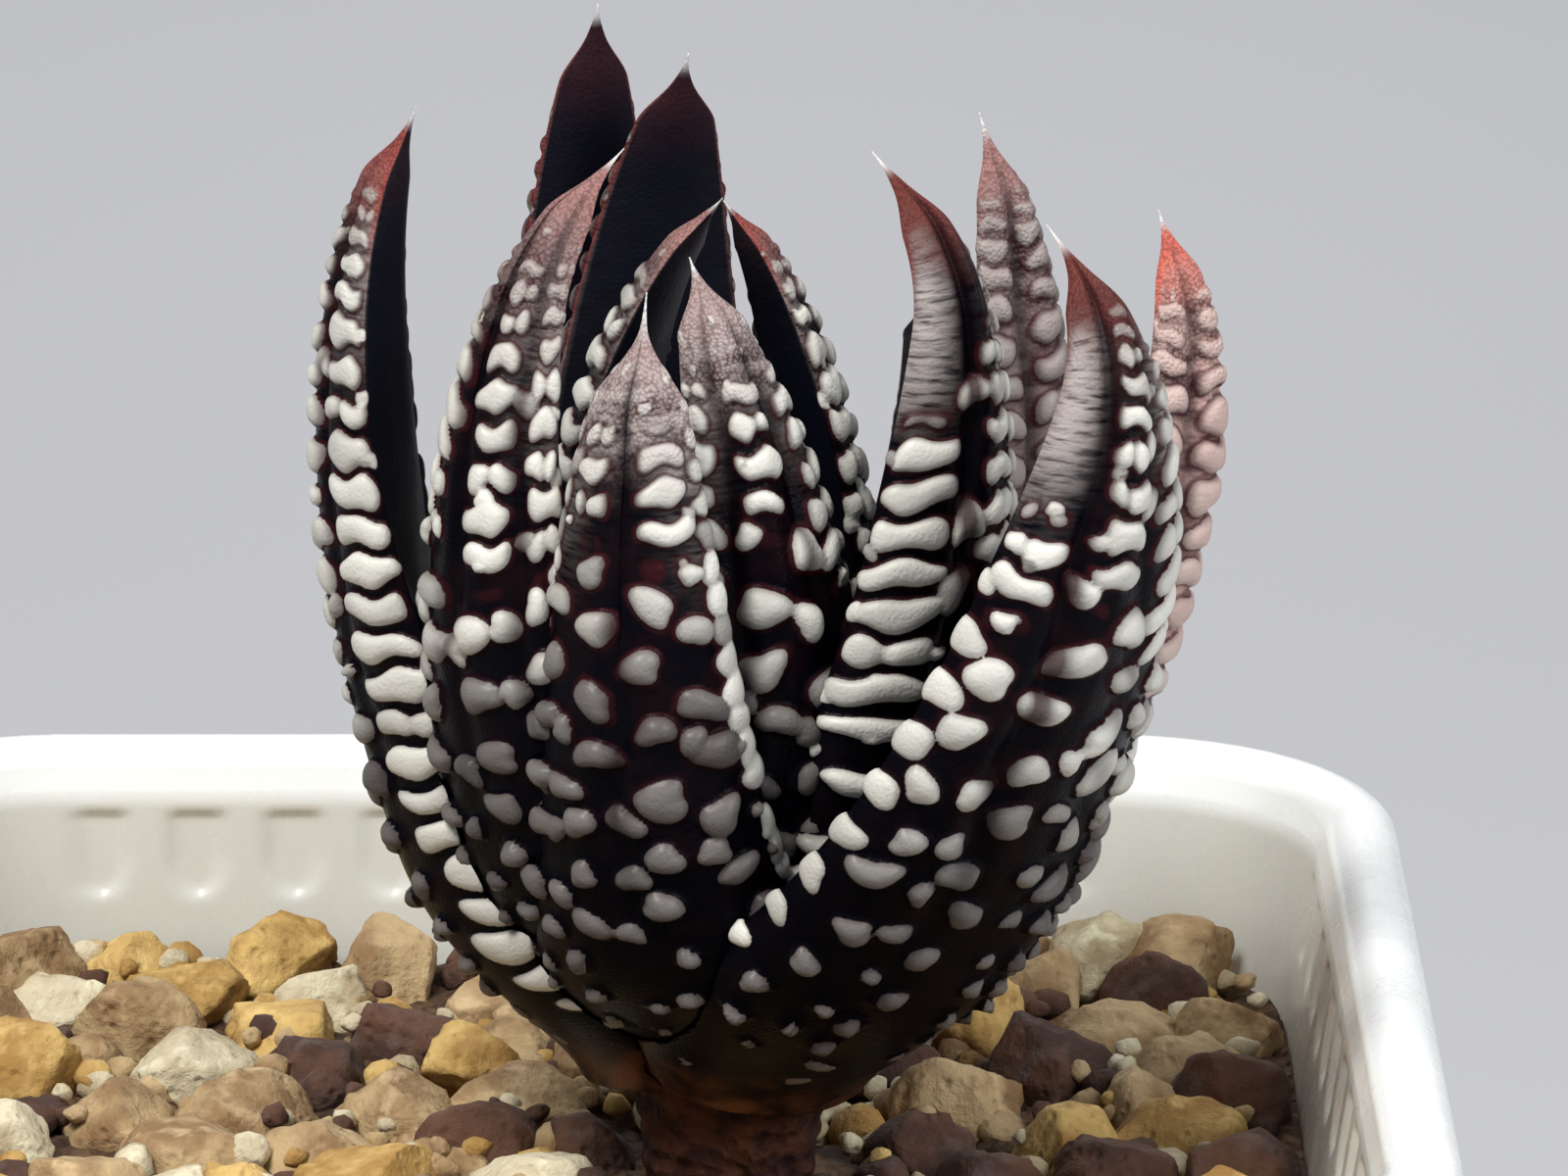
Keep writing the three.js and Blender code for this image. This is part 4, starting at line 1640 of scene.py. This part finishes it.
@dataclass
class Relief:
    """What a leaf's skin carries at each point: the lift of its warts, ribs and furrows, and their paleness.

    lift is in millimetres. wart is how deep in a wart each point is, from -1 well outside it to 1 on its
    top, and tone is that wart's paleness, whose dullness on the lower leaf is partly a painted shade.
    """

    form: LeafForm
    rest: Points
    t: np.ndarray
    q: np.ndarray
    wart_height: float
    least_wart: float = 0.2
    wart_reach: Span = (0.06, 0.25)
    merging: float = 5
    rib_pitch: float = 2.1
    furrow_width: float = 0.040
    furrow_depth: float = 0.5
    lift: np.ndarray = field(init=False)
    tone: np.ndarray = field(init=False)
    wart: np.ndarray = field(init=False)

    def __post_init__(self) -> None:
        """Starts with bare skin."""
        self.lift = np.zeros(self.rest.shape[:2])
        self.tone = np.zeros(self.rest.shape[:2])
        self.wart = np.full(self.rest.shape[:2], -1.0)

    def _cover(self, block: tuple[np.ndarray, ...], depth: np.ndarray, tone: Number) -> None:
        """Notes a wart's or rib's tone and depth at the points of a block that lie deeper in it."""
        self.tone[block] = np.where(depth > self.wart[block], tone, self.tone[block])
        self.wart[block] = np.maximum(self.wart[block], np.maximum(depth, -1))

    def raise_warts(self, warts: Warts) -> None:
        """Raises the warts, each an uneven, slightly bent pebble.

        Args:
            warts: the leaf's warts.
        """
        on_back = np.where(self.q <= 1, 1.0, 0.0)
        on_edge = np.where(self.q <= 1, 1.0, smooth(0.13, 0.02, np.minimum(self.q - 1, 2 - self.q)))
        reach_along, reach_across = self.wart_reach
        for k in range(len(warts.height)):
            apart = np.abs(self.q - warts.q[k])
            rows = np.flatnonzero(np.abs(self.t - warts.t[k]) < reach_along)
            columns = np.flatnonzero(np.minimum(apart, 2 - apart) < reach_across)
            if not len(rows) or warts.half_length[k] < self.least_wart:
                continue
            block = np.ix_(rows, columns)
            offset = self.rest[block] - warts.centre[k]
            u = (offset @ warts.along[k]) / warts.half_length[k]
            v = (offset @ warts.across[k]) / warts.half_width[k]
            w = np.abs(offset @ warts.out[k])
            first, second, third = (draw(warts.key[k] + n) for n in (21, 22, 23))
            u = u + 0.55 * (third - 0.5) * (v * v - 0.3)
            angle = np.arctan2(v, u)
            uneven = 1 + 0.13 * np.sin(2 * angle + 2 * pi * first)
            uneven = uneven + 0.09 * np.sin(3 * angle + 2 * pi * second)
            depth = 1 - (np.abs(u) ** 2.5 + np.abs(v) ** 2.5) ** 0.8 / uneven**2
            close = smooth(3.2, 1.6, w) * (on_edge if warts.on_margin[k] else on_back)[columns]
            raised = warts.height[k] * (np.maximum(0, depth) * close) ** 0.6
            self._cover(block, depth * close - (1 - close), warts.tone[k])
            self.lift[block] = (self.lift[block] ** self.merging + raised**self.merging) ** (1 / self.merging)

    def raise_ribs(self) -> None:
        """Raises the ribs that the upper warts run together into, closer together towards the tip."""
        finer = smooth(0.78, 0.97, self.t)
        keel = np.count_nonzero(self.q <= 1) // 2
        steps = np.linalg.norm(np.diff(self.rest[:, keel], axis=0), axis=1)
        pitch = self.rib_pitch - 1.2 * finer
        turns = np.concatenate([[0], np.cumsum(steps / pitch[1:])])[:, None]
        finer = finer[:, None]
        for column, ribs in enumerate(self.form.ribs):
            inside = np.flatnonzero((self.q > ribs.low - 0.02) & (self.q < ribs.high + 0.02) & (self.q <= 1))
            across = (2 * self.q[inside] - ribs.low - ribs.high) / (ribs.high - ribs.low)
            x = np.broadcast_to(across[None, :], (len(self.t), len(inside)))
            key = self.form.number * 2.7 + column * 1.9
            wave = np.sin(3.1 * x + 2.3 * turns + key) + np.sin(5.3 * x - 1.7 * turns + 2 * key)
            phase = turns + 0.5 * column + 0.07 * wave + 0.20 * x * sin(key)
            number = np.floor(phase)
            apart = 2 * np.abs(phase - number - 0.5)
            first, second, third, fourth = (
                draw(number * k + 7 * column + self.form.number) for k in (1.0, 1.7, 2.3, 4.1)
            )
            reach = 0.68 + 0.22 * first
            width = 0.76 + 0.24 * second
            shift = 0.26 * (third - 0.5)
            notch = 0.6 * (fourth > 0.72) * np.exp(-(((x - 1.2 * (fourth - 0.86)) / 0.16) ** 2))
            depth = 1 - (apart / reach) ** 2.6 - np.abs((x - shift) / width) ** 3.5 - notch
            depth = depth - 1.6 * (1 - ribs.share(self.t)[:, None])
            height = 0.70 * self.wart_height * (1 - 0.75 * finer)
            block = np.ix_(np.arange(len(self.t)), inside)
            self._cover(block, depth, (0.70 + 0.30 * draw(number * 3.1 + column)) * (1 - 0.25 * finer))
            self.lift[block] = np.maximum(self.lift[block], height * np.clip(depth, 0, 1) ** 0.6)

    def furrows(self) -> np.ndarray:
        """Lays the furrows, slightly wavy lines along the upper back.

        Returns:
            How deep in a furrow each point is.
        """
        found = np.zeros((len(self.t), len(self.q)))
        along = smooth(0.30, 0.60, self.t) * smooth(1.0, 0.94, self.t)
        for middle, strength in self.form.grooves:
            wander = middle + 0.012 * np.sin(self.t * 34 + self.form.number)
            line = np.exp(-(((self.q[None, :] - wander[:, None]) / self.furrow_width) ** 2))
            found += strength * line * along[:, None]
        return found * (self.q <= 1)[None, :]

    def sink(self, furrows: np.ndarray, half: np.ndarray) -> None:
        """Sinks the furrows, less under warts and where half the leaf's width is small."""
        narrow = np.minimum(1, half / 3)[:, None]
        self.lift -= self.furrow_depth * furrows * narrow * (1 - 0.5 * np.clip(self.wart, 0, 1))


@dataclass
class Leaf:
    """Builds the fine mesh of one leaf."""

    form: LeafForm
    rings: int = 210
    back_points: int = 64
    inner_points: int = 15
    press_clearance: float = 0.25
    skin: LeafSkin = field(init=False)

    def __post_init__(self) -> None:
        """Sets up the leaf's smooth skin."""
        self.skin = LeafSkin(self.form)

    def build(self, inner_leaves: Sequence["Leaf"]) -> bpy.types.Object:
        """Makes the leaf in place of its solid.

        Args:
            inner_leaves: the leaves that stand further in and press on this one.

        Returns:
            The finished piece.
        """
        t = self.skin.even(self.rings)
        inner = np.linspace(1, 2, self.inner_points + 2)[1:-1]
        q = np.concatenate([np.linspace(0, 1, self.back_points), inner])
        rest = self.skin.points(t, q)
        lift, shares = self._marks(rest, t, q)
        moved = (rest + self._normals(rest) * lift[..., None]).reshape(-1, 3)
        hub = self.back_points + self.inner_points // 2
        piece = mesh_object(self.form.name + "_skin", moved, loft_faces(len(t), len(q), hub))
        self._press(piece, inner_leaves)
        self._store(piece, moved, shares)
        piece.data.materials.append(leaf_material(self.form.tip, self.form.blush_from))
        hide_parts(self.form.name)
        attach(piece, "root")
        return piece

    def _normals(self, rest: Points) -> np.ndarray:
        """The outward direction at each point of the skin."""
        across = np.roll(rest, -1, axis=1) - np.roll(rest, 1, axis=1)
        return unit(np.cross(across, np.gradient(rest, axis=0)))

    def _marks(self, rest: Points, t: np.ndarray, q: np.ndarray) -> tuple[np.ndarray, dict[str, np.ndarray]]:
        """Works out what the skin carries at each point.

        Args:
            rest: the points of the smooth skin.
            t: the share of the length of each ring.
            q: the place of each point round the ring.

        Returns:
            How far each point is lifted, and the numbers for the finish by name.
        """
        pattern = WartPattern(self.skin)
        relief = Relief(self.form, rest, t, q, pattern.height)
        relief.raise_warts(pattern.build())
        relief.raise_ribs()
        furrows = relief.furrows()
        relief.sink(furrows, self.skin.breadth(t)[0])
        run = np.concatenate([[0], np.cumsum(np.linalg.norm(np.diff(rest[:, 0], axis=0), axis=1))])
        steps = np.linalg.norm(np.diff(rest, axis=1), axis=2)
        side = np.concatenate([np.zeros((len(t), 1)), np.cumsum(steps, axis=1)], axis=1)
        from_margin = np.minimum(np.abs(q - np.round(q)), 1)
        margin = smooth(np.where(q > 1, 0.10, 0.13), 0.03, from_margin)
        needle = smooth(0.75 * self.form.needle, 0.2 * self.form.needle, 1 - t)
        everywhere = np.ones_like(side)
        return relief.lift, {
            "wart": np.clip(relief.wart, -1, 1),
            "tone": relief.tone,
            "groove": np.minimum(1, furrows),
            "along": t[:, None] * everywhere,
            "needle": needle[:, None] * everywhere,
            "run": run[:, None] * everywhere,
            "side": side,
            "inner": np.where(q > 1, smooth(0.0, 0.10, from_margin), 0.0) * everywhere,
            "margin": margin * everywhere,
            "flank": smooth(0.40, 0.16, from_margin) * everywhere,
        }

    def _press(self, piece: bpy.types.Object, inner_leaves: Sequence["Leaf"]) -> None:
        """Cuts the piece back where leaves that stand further in press on it.

        Args:
            piece: this leaf's mesh.
            inner_leaves: those leaves.
        """
        if not inner_leaves:
            return
        back, inner = np.linspace(0, 1, 17), np.array([1.03, 1.25, 1.5, 1.75, 1.97])
        t = np.concatenate([[-0.03, 0.0], np.linspace(0.02, 1, 56)])
        q = np.concatenate([back, inner])
        hub = len(back) + len(inner) // 2
        tools = bpy.data.collections.new("pressing")
        for leaf in inner_leaves:
            points = leaf.skin.points(t, q, self.press_clearance)
            tool = mesh_object("press", points.reshape(-1, 3), loft_faces(len(t), len(q), hub))
            bpy.context.scene.collection.objects.unlink(tool)
            tools.objects.link(tool)
        cut = piece.modifiers.new("press", "BOOLEAN")
        cut.operation = "DIFFERENCE"
        cut.operand_type = "COLLECTION"
        cut.collection = tools
        cut.solver = "MANIFOLD"
        cut_mesh = bpy.data.meshes.new_from_object(piece.evaluated_get(bpy.context.evaluated_depsgraph_get()))
        piece.modifiers.remove(cut)
        cut_mesh.materials.clear()
        piece.data = cut_mesh
        for tool in list(tools.objects):
            bpy.data.objects.remove(tool)
        bpy.data.collections.remove(tools)

    def _store(self, piece: bpy.types.Object, points: Points, shares: Mapping[str, np.ndarray]) -> None:
        """Gives each vertex the numbers of the nearest point of the uncut leaf.

        Args:
            piece: the leaf's mesh, cut to its neighbours.
            points: the points of the uncut leaf.
            shares: a number for each of those points, by name.
        """
        tree = KDTree(len(points))
        for i, p in enumerate(points):
            tree.insert(p * MM, i)
        tree.balance()
        nearest = np.array([tree.find(v.co)[1] for v in piece.data.vertices])
        for name, values in shares.items():
            set_attribute(piece.data, name, values.ravel()[nearest])
        piece.data.polygons.foreach_set("use_smooth", [True] * len(piece.data.polygons))


@dataclass
class Whorl:
    """The rosette of leaves, the lowest and outermost first.

    front names the leaves nearest the camera, which get the finest meshes, and hidden those behind others.
    """

    forms: tuple[LeafForm, ...] = (
        LeafForm(
            number=1, azimuth=-154, lean=-0.4, width=15, foot=18, depth=4.2, needle=0.025,
            route=((5.6, 5.5), (11, 9), (20, 34), (16.5, 57)),
            tip=TipColour.DARK, blush_from=0.62,
        ),
        LeafForm(
            number=2, azimuth=140, width=12, foot=18, depth=4.4, needle=0.035,
            route=((5.6, 5.5), (10, 11), (22, 32), (15, 42)),
            tip=TipColour.RUST,
        ),
        LeafForm(
            number=3, azimuth=84, roll=20, lean=0.5, width=13, foot=18, depth=5, needle=0.035,
            route=((5.6, 5.5), (9, 13), (26.5, 34), (21.8, 50)),
            tip=TipColour.CORAL, blush_from=0.5, pale_from=0.2, grooves=((0.34, 0.6), (0.66, 0.5)),
            ribs=(Ribs(0.0, 0.33, 0.25, 0.96), Ribs(0.35, 0.65, 0.2, 0.96), Ribs(0.67, 1.0, 0.2, 0.96)),
        ),
        LeafForm(
            number=4, azimuth=-86, roll=24, width=14, foot=21, depth=6, neck=0.2, needle=0.03,
            route=((5, 4.5), (7.8, 11.5), (22.5, 35), (15.8, 55.2)),
            tip=TipColour.ROSY, blush_from=0.86, pale_from=0.50, grooves=((0.64, 0.7),), wide_lines=(4,),
            ribs=(Ribs(0.3, 0.62, 0.5, 0.95), Ribs(0.67, 1.0, 0.12, 0.97)),
        ),
        LeafForm(
            number=5, azimuth=39, lean=3.8, hook=3.6, width=19, foot=26, depth=4.8, neck=0.4, needle=0.04,
            route=((5.2, 4), (8.4, 9.5), (34, 36), (24, 52)),
            tip=TipColour.RUST, pale_from=0.50, grooves=((0.36, 1.2), (0.62, 0.6)), wide_lines=(0,),
            bare=(0.35, 0.76),
            ribs=(Ribs(0.02, 0.33, 0.64, 0.80), Ribs(0.385, 0.58, 0.66, 0.96), Ribs(0.64, 1.0, 0.58, 0.93)),
        ),
        LeafForm(
            number=6, azimuth=-18, width=13.8, foot=18, depth=4.6, needle=0.075,
            route=((4.2, 8), (11, 9.5), (18, 32), (13, 48.3)),
            tip=TipColour.PALE, blush_from=0.80, pale_from=0.70, grooves=((0.5, 1.0),),
            ribs=(Ribs(0.20, 0.48, 0.74, 0.92), Ribs(0.52, 0.86, 0.71, 0.91)),
        ),
        LeafForm(
            number=7, azimuth=-116, width=10, foot=12, depth=4, needle=0.035,
            route=((4, 8.5), (9, 12), (15, 28), (10, 38)),
            tip=TipColour.BLUSH,
        ),
        LeafForm(
            number=8, azimuth=84, roll=30, lean=1.5, width=14.5, foot=12, depth=4.6, neck=0.2, needle=0.04,
            route=((4, 8.5), (8, 13), (18, 36), (12.6, 54.6)),
            tip=TipColour.BLUSH, blush_from=0.55, pale_from=0.30, grooves=((0.35, 0.8), (0.66, 0.6)),
            wide_lines=(1,),
            ribs=(Ribs(0.0, 0.34, 0.2, 0.97), Ribs(0.36, 0.65, 0.3, 0.97), Ribs(0.67, 1.0, 0.3, 0.97)),
        ),
        LeafForm(
            number=9, azimuth=-156, lean=-3, width=16.5, foot=13, depth=4.2, needle=0.03,
            route=((3.8, 8.5), (9, 12), (17, 36), (12, 55)),
            tip=TipColour.DARK, blush_from=0.62,
        ),
        LeafForm(
            number=10, azimuth=-54, lean=1.3, hook=2, width=14.5, foot=15, depth=4.8, neck=0.15, needle=0.03,
            route=((3.8, 8.5), (9, 12), (20.6, 36.5), (9.4, 54)),
            tip=TipColour.BLUSH, blush_from=0.80, grooves=((0.52, 0.9), (0.76, 0.8)),
            ribs=(Ribs(0.04, 0.50, 0.62, 0.94), Ribs(0.54, 0.75, 0.60, 0.94), Ribs(0.77, 1.0, 0.60, 0.95)),
        ),
        LeafForm(
            number=11, azimuth=50, hook=4.2, width=15, foot=14, depth=4.8, neck=0.2, needle=0.03,
            route=((3.8, 9), (6.5, 13), (17.2, 35), (13.6, 54)),
            tip=TipColour.RUST, blush_from=0.88, pale_from=0.50, grooves=((0.42, 1.3), (0.72, 0.45)),
            wide_lines=(1,), bare=(0.41, 0.78),
            ribs=(Ribs(0.0, 0.39, 0.45, 0.82), Ribs(0.455, 0.69, 0.45, 0.90), Ribs(0.74, 1.0, 0.4, 0.92)),
        ),
        LeafForm(
            number=12, azimuth=22, lean=-4, width=12.4, foot=12, depth=4.2, needle=0.035,
            route=((3, 10), (8, 13), (13.2, 33), (4.7, 48.5)),
            tip=TipColour.PALE, blush_from=0.82, pale_from=0.60, grooves=((0.32, 0.7), (0.64, 0.8)),
            ribs=(Ribs(0.0, 0.30, 0.60, 0.93), Ribs(0.36, 0.62, 0.70, 0.92), Ribs(0.68, 1.0, 0.62, 0.92)),
        ),
        LeafForm(
            number=13, azimuth=-118, lean=-1.2, width=13, foot=8, depth=3.6, needle=0.03,
            route=((2, 11.5), (6, 15), (12, 36), (1, 49.8)),
            tip=TipColour.BLUSH,
        ),
        LeafForm(
            number=14, azimuth=114, lean=3, width=13, foot=8, depth=3.6, needle=0.03,
            route=((2, 12), (5, 15), (7.6, 37), (1, 49.3)),
            tip=TipColour.ROSY, pale_from=0.40, grooves=((0.33, 0.6), (0.66, 0.6)),
            ribs=(Ribs(0.0, 0.32, 0.3, 0.96), Ribs(0.34, 0.65, 0.3, 0.96), Ribs(0.67, 1.0, 0.3, 0.96)),
        ),
    )
    front: tuple[int, ...] = (4, 5, 6, 10, 11)
    hidden: tuple[int, ...] = (2, 7)

    def build(self) -> list[bpy.types.Object]:
        """Makes every leaf, each pressed by those that stand further in."""
        leaves = [self._leaf(form) for form in self.forms]
        return [leaf.build(leaves[i + 1:]) for i, leaf in enumerate(leaves)]

    def _leaf(self, form: LeafForm) -> Leaf:
        """Gives a leaf a mesh as fine as its place in view asks for.

        Args:
            form: the leaf's form.

        Returns:
            The leaf.
        """
        if form.number in self.front:
            return Leaf(form, rings=320, back_points=86, inner_points=17)
        if form.number in self.hidden:
            return Leaf(form, rings=120, back_points=44, inner_points=9)
        return Leaf(form)


@dataclass(frozen=True)
class SoftLight:
    """One square soft light: its place, the point it faces, its side and its power in watts."""

    name: str
    at: tuple[float, float, float]
    aim: tuple[float, float, float]
    size: float
    power: float
    colour: Colour

    def build(self) -> None:
        """Hangs the light in the scene."""
        data = bpy.data.lights.new(self.name, "AREA")
        data.shape = "SQUARE"
        data.size = self.size * MM
        data.energy = self.power
        data.color = self.colour
        light = bpy.data.objects.new(self.name, data)
        light.location = Vector(self.at) * MM
        light.rotation_euler = (Vector(self.aim) - Vector(self.at)).to_track_quat("-Z", "Y").to_euler()
        bpy.context.scene.collection.objects.link(light)


@dataclass
class Studio:
    """The pale floor, the soft lights and the camera."""

    floor_half: float = 3000.0
    floor_drop: float = 0.2
    lights: tuple[SoftLight, ...] = (
        SoftLight("key", (-200, -280, 600), (8.3, 0, 100), 240, 4.6, (1.0, 0.985, 0.96)),
        SoftLight("fill", (430, -330, 430), (8.3, 0, 100), 360, 2.9, (0.95, 0.97, 1.0)),
        SoftLight("back", (0, 640, 560), (0, 600, 0), 300, 2.1, (1.0, 1.0, 1.0)),
    )
    sky_colour: Colour = (0.86, 0.90, 1.0)
    sky_strength: float = 0.26
    camera_at: tuple[float, float, float] = (11.1, -506.5, 240.1)
    camera_pitch: float = 15.5
    lens: float = 235.28
    sensor: float = 36.0
    nearest: float = 10.0

    def build(self) -> None:
        """Makes the floor, the lights and the camera, with colours shown as they are."""
        bpy.context.scene.view_settings.view_transform = "Standard"
        self._floor()
        for light in self.lights:
            light.build()
        self._sky()
        self._camera()

    def _floor(self) -> None:
        """A wide flat floor."""
        h = self.floor_half
        corners = np.array([[-h, -h, 0], [h, -h, 0], [h, h, 0], [-h, h, 0]])
        floor = mesh_object("floor", corners, [(0, 1, 2, 3)])
        floor.location.z = -self.floor_drop * MM
        floor.data.materials.append(FloorFinish().build())

    def _sky(self) -> None:
        """An even pale light from all sides."""
        world = bpy.data.worlds.new("sky")
        world.use_nodes = True
        background = world.node_tree.nodes["Background"]
        background.inputs["Color"].default_value = (*self.sky_colour, 1.0)
        background.inputs["Strength"].default_value = self.sky_strength
        bpy.context.scene.world = world

    def _camera(self) -> None:
        """The camera, at the photograph's angle and distance."""
        data = bpy.data.cameras.new("camera")
        data.lens = self.lens
        data.sensor_width = self.sensor
        data.clip_start = self.nearest * MM
        camera = bpy.data.objects.new("camera", data)
        camera.location = Vector(self.camera_at) * MM
        camera.rotation_euler = (radians(90 - self.camera_pitch), 0, 0)
        bpy.context.scene.collection.objects.link(camera)
        bpy.context.scene.camera = camera


def main() -> None:
    """Builds every piece and the studio, and logs how many faces each piece has."""
    logging.basicConfig(level=logging.INFO, format="%(message)s")
    for piece in [Pot().build(), *Grit().build(), Stem().build(), *Whorl().build()]:
        LOG.info("%s: %d faces", piece.name, len(piece.data.polygons))
    Studio().build()
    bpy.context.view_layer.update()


if __name__ == "__main__":
    main()
